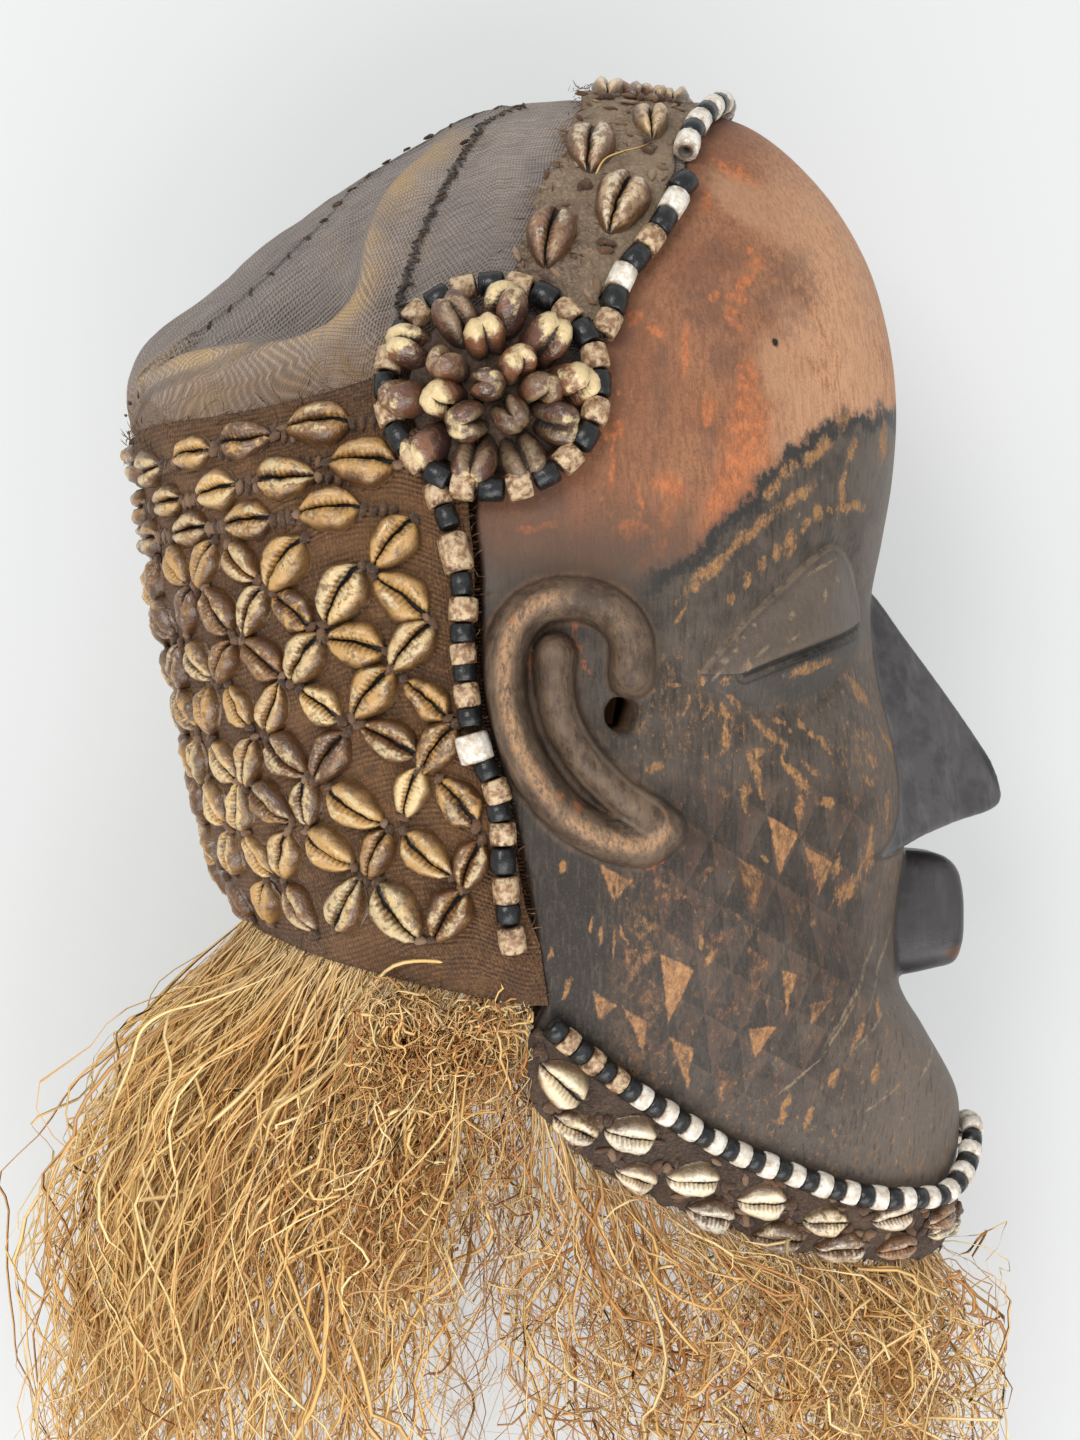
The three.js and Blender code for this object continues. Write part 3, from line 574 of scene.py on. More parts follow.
def faceRegionLine():
    down = throughPoints([hairline[-1], *templeEdge, *rearRim], 6)
    rear = np.concatenate((throughPoints(hairline, 6), down[1:]))
    low = shifted(throughPoints(jawString, 6), -10)
    return np.concatenate((rear, low, [(300, low[-1][1]), (300, 266)]))


def mouthHalf(y):
    return face["mouthHalf"] * np.sqrt(np.maximum(1 - 0.42 * np.abs((y + 74) / 25) ** 2.6, 0.05))


def woodDistance(xs, ys, zs):
    x, y = np.meshgrid(xs, ys, indexing="ij")
    n = headSize["fullness"]
    share, wide = skinShare(x, y), halfWidth(x, y)
    level = ((share**n)[..., None] + (1 / wide**n)[..., None] * (zs**n)[None, None]) ** (1 / n)
    level = level.astype(np.float32)
    slope = np.sqrt(sum(g * g for g in np.gradient(level, face["step"])))
    skin = (level - 1) / np.maximum(slope, 0.004)
    del slope, level
    z = zs[None, None].astype(np.float32)

    # low relief of the outer skin: muzzle, eyelids with their crease and slit, hollow by the ear
    m = face["muzzle"]
    rise = m["rise"] * np.exp(-(((y - m["y"]) / m["tall"]) ** 2)) * smoothstep(x, 70, 125)
    lidLine = throughPoints(face["lid"], 6, True)
    lid = shapeDistance(x, y, lidLine)
    slitLine = throughPoints(face["slit"], 8)
    slit, along = lineDistance(x, y, slitLine)
    over = y - np.interp(x, slitLine[:, 0], slitLine[:, 1])
    inside = np.clip(-lid / 21, 0, 1)
    tall = 5.0 + 4.2 * smoothstep(over, -5, 3)
    rise = rise + tall * (0.55 * (1 - (1 - inside) ** 2) + 0.45 * inside * inside * (3 - 2 * inside))
    rise = rise - (
        1.6 * np.exp(-((np.maximum(lid, 0) / 6) ** 2)) * (lid > 0) * smoothstep(x, 48, 66) * smoothstep(over, -8, 8)
    )
    ends = np.sin(math.pi * np.clip(along, 0, 1)) ** 0.6
    lips = np.where(over > 0, 1.6 * np.exp(-((slit / 6) ** 2)), 1.5 * np.exp(-(((slit - 4.5) / 2.4) ** 2)))
    rise = rise + ends * lips
    rise = rise - 3.4 * ends * np.exp(-((slit / (0.7 + 0.7 * ends)) ** 4))
    rise = rise - 1.2 * ends * (over < 0) * np.exp(-(((slit - 1.8) / 1.6) ** 2))
    under, _ = lineDistance(x, y, throughPoints(face["lowerCrease"], 6))
    rise = rise - 1.1 * np.exp(-((under / 2.2) ** 2))
    hx, hy, hr = face["earHole"]
    rise = rise - 3.0 * np.exp(-(np.hypot(x - hx + 2, y - hy - 2) / 12) ** 2)
    outer = skin - rise[..., None].astype(np.float32) * smoothstep(skin, -13, -3)

    # the ear's rolls
    for line, (radius, tall, wideEnd) in face["earRolls"].items():
        q, s = lineDistance(x, y, throughPoints(face[line], 6))
        r = radius * (1 + (wideEnd - 1) * (smoothstep(s, 0.8, 1) + 0.8 * smoothstep(0.2 - s, 0, 0.2)))
        t = tall * (1 - 0.12 * smoothstep(s, 0.75, 1))
        around = np.sqrt(((q / r) ** 2)[..., None] + (np.maximum(skin, -6) / t[..., None]) ** 2)
        outer = softMin(outer, ((around - 1) * r[..., None] * 0.9).astype(np.float32), 1.6)
    leanX, leanY = face["boreSlant"]
    bore = np.hypot(x[..., None] - hx - (z - 100) * leanX, y[..., None] - hy - (z - 100) * leanY)
    outer = np.where(z > 60, softMax(outer, hr - bore, 1.0), outer).astype(np.float32)
    del bore

    # nose and mouth
    flat = shapeDistance(x, y, throughPoints(face["nose"], 4, True))
    back, _ = lineDistance(x, y, face["noseRidge"])
    half = 2.6 + 0.60 * back + 0.004 * back**2
    nose = softMax(flat[..., None] + 0 * z, (z - half[..., None]) * 0.84, 3.2)
    flat = shapeDistance(x, y, throughPoints(face["mouth"], 4, True))
    mouth = softMax(flat[..., None] + 0 * z, z - mouthHalf(y)[..., None], 8.0)
    opening = np.maximum(np.abs(y + 74)[..., None] - 2.4, np.maximum(z - 14, 153.5 - x[..., None]))
    mouth = softMax(mouth, -opening, 1.5)
    solid = softMin(softMin(outer, nose.astype(np.float32), 1.5), mouth.astype(np.float32), 2.0)

    # hollow, and the cut edges
    solid = softMax(solid, -(skin + face["wall"]), 2.0)
    edge = shapeDistance(x, y, faceRegionLine())
    return softMax(solid, (edge[..., None] + 0 * z).astype(np.float32), 2.4).astype(np.float32)


def carveFace():
    step = face["step"]
    across, upright, wide = face["reach"]
    xs, ys = np.arange(*across, step), np.arange(*upright, step)
    zs = step * (np.arange(math.ceil(wide / step)) + 0.5)
    half = woodDistance(xs, ys, zs)
    field = np.concatenate((half[..., ::-1], half), -1)
    points, faces = fieldSurface(field, np.array((xs[0], ys[0], -zs[-1])), step)
    floor = -headAt[2] + face["floorGap"]
    points[:, 2] = np.maximum(points[:, 2], floor)
    return points, faces


woodPoints, woodFaces = carveFace()
print("mask: face carved,", len(woodPoints), "corners,", 2 * len(woodFaces), "triangles")


# One cowrie with its toothed slit up, 1 long along x. Across it lie the outer edge, the lobe, the
# lip and the slit of one half, then the same of the other. A sewn one has its back ground off
# flat; a whole one is round behind as well, and the slit cleaves both its ends into two lobes.
cowrie = {
    "wide": 0.345, "tall": 0.30, "rows": 15,
    "half": [(1.0, -0.10), (1.0, 0.24), (0.92, 0.58), (0.74, 0.87), (0.50, 1.0), (0.27, 0.95), (0.10, 0.77),
             (0.02, 0.50)],
    "around": 22, "cleft": 0.62, "cleftWide": 0.30, "notch": 0.22,
}


def makeCowrie(whole):
    c = cowrie
    rows = c["rows"]
    s = np.sin(0.5 * math.pi * np.linspace(-1, 1, rows))[:, None]
    if whole:
        turn = np.linspace(-math.pi, math.pi, c["around"], endpoint=False)[None, :]
        turn = turn + 0.42 * np.sin(turn) * -np.cos(turn / 2) ** 2 * 0.9
        full = (1 - np.abs(s) ** 2.5) ** 0.5
        cleft = np.exp(-((turn / c["cleftWide"]) ** 2))
        far = full * (1 - c["cleft"] * cleft)
        y = c["wide"] * 0.92 * (1 + 0.10 * s) * far * np.sin(turn)
        z = c["tall"] * (0.95 + 0.12 * s) * far * np.cos(turn)
        x = 0.5 * s * (1 - c["notch"] * np.exp(-((y / 0.085) ** 2)) * np.abs(s)) + 0 * y
        marks = np.stack((s + 0 * y, np.sin(turn) + 0 * y, cleft + 0 * y), -1)
        faces = [gridFaces(rows, c["around"], roundColumns=True)[:, ::-1]]
        ring = np.arange(c["around"])
        lasts = (rows - 1) * c["around"]
        tip = ring[1:-1]
        ends = [np.stack((tip, ring[2:], tip * 0), 1), np.stack((ring[2:], tip, tip * 0), 1) + lasts]
    else:
        u = np.array([h[0] for h in c["half"]])
        lift = np.array([h[1] for h in c["half"]])
        u, lift = np.concatenate((-u, [0], u[::-1])), np.concatenate((lift, [0.08], lift[::-1]))
        gap = 0.006 + 0.024 * smoothstep(s, -0.2, 0.95) + 0.012 * smoothstep(-s, 0.75, 1.0)
        broad = (1 - np.abs(s) ** 2.1) ** 0.66 * (1 + 0.16 * s + 0.10 * np.exp(-(((s - 0.45) / 0.3) ** 2)))
        middle = 0.045 * (1 - s * s) + 0.012 * s
        y = middle + np.sign(u) * gap + u * (c["wide"] - gap) * broad * np.where(u > 0, 0.93, 1.07)
        z = c["tall"] * lift * (1 - np.abs(s) ** 2.8) ** 0.55 * (1 + 0.10 * s) * np.where(u > 0, 0.92, 1.0)
        x = 0.5 * s + 0 * y
        marks = np.stack((s + 0 * y, u + 0 * y, smoothstep(-np.abs(u), -0.13, 0.0) + 0 * y), -1)
        columns = len(u)
        faces = [gridFaces(rows, columns)[:, ::-1]]
        i = np.arange(rows - 1) * columns
        faces.append(np.stack((i, i + columns, i + 2 * columns - 1, i + columns - 1), 1))
        ends = []
    points = np.stack((x, y, z), -1).reshape(-1, 3)
    return points, faces, ends, marks.reshape(-1, 3)


sewnCowrie, wholeCowrie = makeCowrie(False), makeCowrie(True)


# Cowries at their places, with marks for how each is coloured
def layCowries(name, places, ups, alongs, long, finish, node, seed, wide=1.0, blank=sewnCowrie):
    points, faces, caps, marks = blank
    rng = np.random.default_rng(seed)
    n = len(places)
    long = np.broadcast_to(np.asarray(long, float), n)
    sizes = np.stack((np.ones(n), rng.uniform(0.90, 1.12, n) * wide, rng.uniform(0.92, 1.15, n)), 1)
    world, allFaces = stamped(points, [*faces, *caps], places, axesOn(ups, alongs), long[:, None] * sizes)
    lumpy = 0.40 * hills(world, 9, seed) + 0.30 * hills(world, 5, seed + 5) + 0.10 * hills(world, 2.4, seed + 6)
    sideways = [0.34 * hills(world, 6.5, seed + 10 + k) + 0.16 * hills(world, 3.2, seed + 13 + k) for k in range(3)]
    world = world + np.repeat(ups, len(points), 0) * lumpy[:, None] + np.stack(sideways, 1)
    marks = {"shell": np.tile(marks, (n, 1)), "shade": np.repeat(rng.uniform(0, 1, (n, 3)), len(points), 0)}
    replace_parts(makePiece(name, world, allFaces, finish, marks), node)


# Horizontal and upward directions on the skin, as seen square from outside
def skinAxes(up):
    right = unit(np.cross((0.0, 1.0, 0.0), up))
    return right, np.cross(up, right)


def slanted(up, degrees):
    right, high = skinAxes(up)
    turn = np.radians(np.asarray(degrees, float))[:, None]
    return np.cos(turn) * right + np.sin(turn) * high


# Thread lumps where the cowries are sewn down, gathered for one piece
threadLumps = []


def addLumps(places, ups, alongs, sizes, shade=0.0):
    n = len(places)
    sizes = np.broadcast_to(np.asarray(sizes, float), (n, 3))
    threadLumps.append((places, ups, alongs, sizes, np.full(n, float(shade))))


# Rows on the hood, level ones above and slanted pairs below: for each, its height at the nape
# with the places, slants and lengths of its cowries in the photograph. Behind, they go on at
# the group's own slant and pitch.
hoodRows = {
    "level": {"node": "cowrie_row", "slant": 0, "pitch": 20.0, "seed": 20, "rows": {
        96: [(319, 427, 3, 21.5), (247, 440, 4, 18.5), (195, 455, 3, 17.5), (156, 467, 0, 18)],
        84: [(364, 465, -4, 21.5), (287, 478, 0, 20), (220, 491, 6, 18.5), (173, 502, 2, 18),
             (141, 505, 0, 18)],
        70: [(330, 512, 2, 21.5), (250, 521, 2, 19.5), (195, 531, 4, 18.5), (156, 540, 3, 18)],
    }},
    "net": {"node": "cowrie_net", "slant": 50, "pitch": 12.5, "seed": 40, "rows": {
        54: [(394, 544, 50, 20), (288, 565, 47, 21), (245, 563, -46, 17), (209, 565, 55, 18),
             (181, 566, -50, 17), (160, 579, 52, 17), (144, 581, -50, 17)],
        38: [(344, 595, 55, 21), (401, 597, -38, 20), (256, 611, 58, 18), (294, 610, -40, 17),
             (221, 610, -55, 18), (193, 610, 60, 18), (170, 618, -52, 17), (151, 620, 55, 17)],
        21: [(357, 645, -12, 19.5), (412, 647, 46, 20), (308, 659, 52, 18.5), (265, 658, -38, 18),
             (229, 662, 50, 18), (205, 661, -45, 17), (184, 664, 55, 17), (160, 666, -50, 17)],
        5: [(374, 693, 48, 20), (427, 699, -42, 18.5), (276, 707, 62, 18), (322, 704, -35, 17.5),
            (242, 705, -60, 16), (214, 710, 75, 17), (193, 707, -62, 17), (178, 714, 60, 17)],
        -13: [(390, 740, -28, 20), (438, 749, 52, 18.5), (332, 757, 50, 20), (291, 756, -40, 18),
              (253, 762, 65, 17.5), (228, 760, -50, 17), (203, 761, 62, 17), (187, 759, -55, 17)],
        -29: [(358, 805, -32, 21), (413, 792, 68, 16.5), (458, 802, -52, 18.5), (309, 803, 86, 16),
              (275, 802, -38, 18), (243, 806, 75, 17), (220, 801, -60, 17), (199, 803, 66, 17)],
        -46: [(333, 848, -34, 19.5), (380, 854, 62, 18.5), (429, 854, -42, 20), (472, 864, 66, 16),
              (288, 854, 68, 17.5), (262, 854, -58, 17), (235, 851, 66, 17), (211, 846, -58, 17)],
        -61: [(400, 912, -55, 22), (450, 914, 56, 19), (351, 903, 56, 19.5), (305, 907, -52, 18.5),
              (272, 900, 68, 16.5), (243, 897, -60, 18), (217, 882, -58, 17)],
    }},
}


def layHoodRow(name, node, nape, seen, group, finish, seed):
    rng = np.random.default_rng(seed)
    seen = np.array(seen, float)
    lift = 0.1
    near = seenAt(seen[:, :2], lift)
    far = near * (1, 1, -1) + rng.uniform(-1.2, 1.2, near.shape)
    behind = near[near[:, 2].argmin()]
    gap = abs(behind[2]) * 2
    count = max(1, round(gap / group["pitch"]) - 1)
    z = np.linspace(behind[2], -behind[2], count + 2)[1:-1]
    rear = onSkin(np.stack((np.full(count, -150.0), np.full(count, nape), z), 1), lift)
    places = onSkin(np.concatenate((near, far, rear)), lift)
    turned = np.where(np.arange(count) % 2, 1, -1) * group["slant"]
    slant = np.concatenate((seen[:, 2], 180 - seen[:, 2], turned)) + rng.uniform(-5, 5, len(places))
    long = np.concatenate((seen[:, 3], seen[:, 3], np.full(count, 18.0))) * rng.uniform(1.04, 1.12, len(places))
    slant[rng.random(len(places)) < 0.4] += 180
    slant[: len(seen)] = seen[:, 2] + 180 * (rng.random(len(seen)) < 0.4)
    up = skinNormal(places)
    along = slanted(up, slant)
    layCowries(name, places, up, along, long, finish, node, seed)
    for way in (-1, 1):
        ends = onSkin(places + way * along * long[:, None] * 0.52, 1.3)
        addLumps(ends, up, slanted(up, rng.uniform(0, 180, len(ends))), (2.4, 1.7, 1.5))
        for k in () if group["slant"] else (0.68, 0.84, 1.0):
            stitches = onSkin(places + way * along * long[:, None] * k, 0.9)
            addLumps(stitches, up, slanted(up, slant + 90), (2.6, 1.3, 1.3))


def makeHoodCowries(finish):
    for kind, group in hoodRows.items():
        for i, (nape, seen) in enumerate(group["rows"].items()):
            name, node = f"hood_cowries_{kind}_{i + 1}", f"{group['node']}_{i + 1}"
            layHoodRow(name, node, nape, seen, group, finish, group["seed"] + i)
    print("mask: hood cowries sewn on")


# Bigger cowries up the hair band and two rows on the chin band: place in the photograph,
# slant in the picture and length
hairCowries = {
    "hair_cowries_front": [(620, 213, 68, 27), (650, 132, 84, 20), (676, 97, 60, 17)],
    "hair_cowries_rear": [(552, 244, 78, 24.5), (591, 157, 78, 23), (608, 101, 70, 17), (630, 97, 80, 17),
                          (655, 92, 70, 17)],
}
chinCowries = {
    "chin_cowries_upper": [(561, 1075, -48, 21), (629, 1127, -14, 18.5), (691, 1171, -4, 19),
                           (760, 1194, -6, 18), (822, 1213, -4, 16), (887, 1210, 10, 16),
                           (932, 1213, 16, 15)],
    "chin_cowries_lower": [(574, 1119, -32, 18), (635, 1168, -28, 16), (709, 1205, -20, 18),
                           (776, 1229, -10, 18), (838, 1239, 4, 19), (892, 1238, 12, 16),
                           (932, 1222, 20, 14)],
}


# One row on a band, the same on both sides, with one more shell on the middle plane
def layBandRow(name, seen, finish, seed):
    seen = np.array(seen, float)
    rng = np.random.default_rng(seed)
    lift = 3.0
    near = seenAt(seen[:, :2], lift)
    slant = np.concatenate((seen[:, 2], 180 - seen[:, 2])) + rng.uniform(-3, 3, 2 * len(seen))
    last = near[np.abs(near[:, 2]).argmin()]
    places = np.concatenate((near, near * (1, 1, -1), onSkin(np.array([(last[0] + 3, last[1], 0.0)]), lift)))
    slant, long = np.append(slant, 0.0), np.concatenate((seen[:, 3], seen[:, 3], [15.0]))
    up = skinNormal(places)
    along = slanted(up, slant)
    broad = 1.03 if name.startswith("chin") else 1.0
    layCowries(name.replace("cowries", "shells"), places, up, along, long * broad, finish, name, seed, broad)
    for way in (-1, 1):
        ends = onSkin(places + way * along * long[:, None] * 0.5, 3.6)
        for _ in range(3):
            spots = onSkin(ends + rng.uniform(-2.2, 2.2, ends.shape), 3.6)
            addLumps(spots, up, slanted(up, rng.uniform(0, 180, len(ends))), (2.6, 1.6, 1.5))


def makeBandCowries(hairFinish, chinFinish):
    for first, rows, finish in ((60, hairCowries, hairFinish), (70, chinCowries, chinFinish)):
        for i, (name, seen) in enumerate(rows.items()):
            layBandRow(name, seen, finish, first + i)
    print("mask: band cowries sewn on")


# Glass beads, each a short tube with rounded ends and an open hole. They are 1 long and
# have a radius of 1 before they are sized.
beadShape = {
    "sides": 12,
    "profile": [(-0.5, 0.8), (-0.43, 0.99), (0, 1.03), (0.43, 0.99), (0.5, 0.8), (0.49, 0.4), (-0.49, 0.4)],
}


def makeBead():
    sides, profile = beadShape["sides"], np.array(beadShape["profile"])
    turn = np.arange(sides) * 2 * math.pi / sides
    x = np.repeat(profile[:, :1], sides, 1)
    r = profile[:, 1:]
    points = np.stack((x, r * np.cos(turn), r * np.sin(turn)), -1).reshape(-1, 3)
    faces = gridFaces(len(profile), sides, True, True)[:, ::-1]
    marks = np.stack((x, np.repeat(r, sides, 1), np.tile(turn, (len(profile), 1))), -1).reshape(-1, 3)
    return points, [faces], marks


bead = makeBead()
beadKinds = {"b": 0.0, "s": 0.5, "w": 1.0}


def layBeads(name, places, alongs, kinds, long, radius, finish, node, seed):
    points, faces, marks = bead
    rng = np.random.default_rng(seed)
    n = len(places)
    long = np.broadcast_to(np.asarray(long, float), n) * rng.uniform(0.96, 1.0, n)
    radius = np.broadcast_to(np.asarray(radius, float), n) * rng.uniform(0.95, 1.05, n)
    radius = radius * np.array([0.93 if k == "b" else 1.0 for k in kinds])
    alongs = unit(alongs + rng.uniform(-0.06, 0.06, alongs.shape))
    sizes = np.stack((long, radius, radius * rng.uniform(0.96, 1.04, n)), 1)
    world, allFaces = stamped(points, faces, places, axesOn(skinNormal(places), alongs), sizes)
    marks = {"bead": np.tile(marks, (n, 1)), "kind": np.repeat([beadKinds[k] for k in kinds], len(points))}
    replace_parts(makePiece(name, world, allFaces, finish, marks), node)


# Beads one after the other along a line, until it is full
def threaded(path, pitches, start, stop=None):
    along = np.concatenate(([0], np.cumsum(np.linalg.norm(np.diff(path, axis=0), axis=1))))
    stop = along[-1] if stop is None else stop
    at, middles, long = start, [], []
    while at + pitches[len(long) % len(pitches)] <= stop:
        pitch = pitches[len(long) % len(pitches)]
        middles.append(at + pitch / 2)
        long.append(pitch)
        at += pitch
    place = lambda d: np.stack([np.interp(d, along, path[:, k]) for k in range(3)], 1)
    middles = np.array(middles)
    return place(middles), unit(place(middles + 2) - place(middles - 2)), np.array(long)


templeBeads = [
    (440, 499, "s", 8.5, 4.6), (449, 521, "b", 8, 4.2), (457, 556, "s", 13.5, 5.2), (463, 587, "b", 8, 4.2),
    (465, 612, "s", 8.5, 4.8), (464, 635, "b", 6.5, 4.4), (465, 654, "s", 7.5, 4.6), (467, 673, "b", 6, 4.2),
    (469, 695, "s", 8.5, 4.6), (472, 717, "b", 6.5, 4.4), (476, 747, "w", 10, 6.0), (489, 769, "b", 6.5, 4.2),
    (498, 790, "s", 8.5, 4.6), (500, 810, "b", 6, 4.2), (504, 831, "s", 8, 4.6), (504, 858, "b", 9, 4.8),
    (507, 886, "s", 9.5, 4.6), (509, 909, "b", 7, 4.3), (513, 935, "s", 9.5, 4.8),
]


def makeBeads(finish):
    # right temple first, then the broken string over the head and the one under the jaw
    seen = seenAt([(u, v) for u, v, *_ in templeBeads], 4.6)
    way = unit(np.gradient(seen, axis=0))
    kinds = [k for _, _, k, _, _ in templeBeads]
    long = np.array([l for *_, l, _ in templeBeads])
    radius = np.array([r for *_, r in templeBeads])
    for side, flip in (("right", 1), ("left", -1)):
        places, ways = seen * (1, 1, flip), way * (1, 1, flip)
        name, node = f"temple_bead_string_{side}", f"temple_beads_{side}"
        layBeads(name, places, ways, kinds, long, radius, finish, node, 80 + flip)
    path = overHead(hairline[::-1], 5.2)
    total = lengthOf(path)
    places, ways, long = threaded(path, [9.4, 9.0, 9.6, 9.2], 5, 82)
    kinds = "sbwbsbwbsbwbs"[: len(places)]
    ways[-1] = unit(ways[-1] + np.array((0.7, 0.2, -0.2)))
    layBeads("hair_bead_string_right", places, ways, kinds, long, 4.7, finish, "hairline_beads_right", 84)
    places, ways, long = threaded(path, [8.6, 7.6], 92, total - 6)
    kinds = ("wb" * 60)[: len(places)]
    layBeads("hair_bead_string_top", places, ways, kinds, long, 4.5, finish, "hairline_beads_top", 85)
    path = overHead(jawString, 5.0)
    places, ways, long = threaded(path, [5.7, 5.9], 1)
    kinds = ("bs" * 3 + "bw" * 60)[: len(places) // 2]
    kinds = kinds + "w" * (len(places) % 2) + kinds[::-1]
    layBeads("jaw_bead_string", places, ways, kinds, long, 4.35, finish, "jaw_beads", 86)
    print("mask: bead strings threaded")


# Temple rosettes: whole cowries standing on end on a round pad, flaring out, inside a ring
# of beads. Places are of the shells' tips in the photograph, with the tilt outwards.
rosette = {
    "middle": (-15.5, 111.5), "lean": 0.3, "ring": 35.5, "beads": 24, "foot": 2.8, "spread": 1.13,
    "tipsAt": 16, "tallest": 16.5, "padWide": 29, "padThick": 8, "padLift": 4.5,
    "tips": [
        (485, 380, 4, 20, 90), (520, 356, 22, 21, 75), (545, 387, 26, 21, 80), (513, 416, 24, 22, 10),
        (463, 422, 26, 22, -50), (436, 395, 28, 21, -60), (441, 358, 28, 21, 80), (483, 326, 26, 22, 10),
        (449, 300, 48, 25, 15), (505, 290, 48, 25, -40), (556, 324, 50, 27, 30), (584, 378, 50, 24, 70),
        (566, 424, 48, 24, 40), (528, 466, 50, 25, 5), (470, 470, 50, 25, 10), (415, 448, 52, 25, 60),
        (392, 392, 52, 24, 75), (398, 334, 50, 26, 30),
    ],
}


def makeRosettes(shellFinish, beadFinish, padFinish):
    r = rosette
    foot = sideOf([r["middle"]], r["foot"])[0]
    up = unit(skinNormal(foot[None])[0] * r["lean"] + np.array((0, 0, 1.0)))
    right = unit(np.array((1.0, 0, 0)) - up[0] * up)
    high = np.cross(up, right)
    tips = np.array(r["tips"], float)
    seen = lensPlace(tips[:, 0], tips[:, 1], foot[2] + r["tipsAt"])
    outward = seen - foot
    outward -= (outward @ up)[:, None] * up
    outward *= r["spread"]
    far = np.linalg.norm(outward, axis=1)
    out = outward / np.maximum(far, 1e-6)[:, None]
    tilt = np.radians(tips[:, 2])[:, None]
    way = np.cos(tilt) * up + np.sin(tilt) * out
    tall = headAt[2] - foot[2] + 0.4 - 0.0019 * far**2.4
    tip = foot + outward + up * np.minimum(tall, r["tallest"])[:, None]
    facing = up - (way @ up)[:, None] * way + 0.02 * out
    facing = np.where((np.linalg.norm(facing, axis=1) < 0.12)[:, None], high, facing)
    turn = np.radians(tips[:, 4])[:, None]
    facing = unit(facing)
    facing = np.cos(turn) * facing + np.sin(turn) * np.cross(way, facing)
    centre = tip - way * tips[:, 3:4] * 0.5
    angle = np.linspace(0, 2 * math.pi, r["beads"], endpoint=False)
    ring = foot + r["ring"] * (np.cos(angle)[:, None] * right + np.sin(angle)[:, None] * high)
    ring = sideOf(ring[:, :2], 7.2)
    ringWay = unit(np.roll(ring, -1, 0) - np.roll(ring, 1, 0))
    step = np.linalg.norm(np.roll(ring, -1, 0) - ring, axis=1)
    pad = [(0, 0), (0.5, 0), (0.85, 0), (0.98, -0.1), (1, -0.35), (0.97, -0.8), (0.6, -0.9), (0, -0.9)]
    pad = np.array(pad)
    sides = 40
    around = np.arange(sides) * 2 * math.pi / sides
    x, y, z = pad[:, :1] * np.cos(around), pad[:, :1] * np.sin(around), np.repeat(pad[:, 1:], sides, 1)
    flat = np.stack((x, y, z), -1).reshape(-1, 3)
    padPoints = foot + flat[:, :1] * r["padWide"] * right + flat[:, 1:2] * r["padWide"] * high
    padPoints = padPoints + (flat[:, 2:] * r["padThick"] + r["padLift"]) * up
    padPoints += hills(padPoints, 9, 5)[:, None] * 0.5 * up
    for side, flip in (("right", 1), ("left", -1)):
        mirror = np.array((1, 1, flip))
        layCowries(
            f"rosette_shells_{side}", centre * mirror, facing * mirror, way * mirror, tips[:, 3], shellFinish,
            f"temple_rosette_{side}", 90 + flip, 0.95, wholeCowrie,
        )
        kinds = "bs" * (r["beads"] // 2)
        layBeads(
            f"rosette_bead_ring_{side}", ring * mirror, ringWay * mirror, kinds, step * 0.93, 4.7, beadFinish,
            f"rosette_beads_{side}", 95 + flip,
        )
        faces = gridFaces(len(pad), sides, roundColumns=True)[:, :: -flip]
        padPiece = makePiece(f"rosette_pad_{side}", padPoints * mirror, [faces], padFinish)
        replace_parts(padPiece, f"temple_rosette_{side}")
    print("mask: temple rosettes built")


# Thin closed sheet over a grid of points on the mask, with its own weave lengths in
# millimetres for the finish; it prints its flat size and area
def makeCloth(name, grid, thick, finish, node, rise, marks=None):
    rows, columns = grid.shape[:2]
    normal = unit(np.cross(np.gradient(grid, axis=1), np.gradient(grid, axis=0)))
    out = np.sign((normal * skinNormal(grid)).sum(-1).mean())
    normal = normal * out
    grid = grid + normal * rise.reshape(rows, columns, 1)
    u = np.cumsum(np.linalg.norm(np.diff(grid, axis=1, prepend=grid[:, :1]), axis=-1), 1)
    v = np.cumsum(np.linalg.norm(np.diff(grid, axis=0, prepend=grid[:1]), axis=-1), 0)
    u = u - u[:, columns // 2 : columns // 2 + 1]
    inner = grid - normal * thick
    points = np.concatenate((grid.reshape(-1, 3), inner.reshape(-1, 3)))
    n = rows * columns
    top = gridFaces(rows, columns)
    low = top[:, ::-1] + n
    loop = np.concatenate((
        np.arange(columns), np.arange(1, rows) * columns + columns - 1,
        (rows - 1) * columns + np.arange(columns - 2, -1, -1), np.arange(rows - 2, 0, -1) * columns,
    ))
    after = np.roll(loop, -1)
    side = np.stack((after, loop, loop + n, after + n), 1)
    if out < 0:
        top, low, side = top[:, ::-1], low[:, ::-1], side[:, ::-1]
    weave = np.stack((u, v, np.zeros_like(u)), -1).reshape(-1, 3)
    weave = np.concatenate((weave, weave + (0, 0, 1)))
    more = {key: np.tile(value, 2) for key, value in (marks or {}).items()}
    piece = makePiece(name, points, [top, low, side], finish, {"weave": weave, **more})
    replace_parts(piece, node)
    cross = np.cross(grid[1:, :-1] - grid[:-1, :-1], grid[:-1, 1:] - grid[:-1, :-1])
    area = np.linalg.norm(cross, axis=-1).sum() / 1e6
    size = (v[-1].max() / 1000, (u[:, -1] - u[:, 0]).max() / 1000)
    print(f"mask: {name} is {size[0]:.3f} x {size[1]:.3f} m laid flat, {area:.4f} square metres")
    return piece


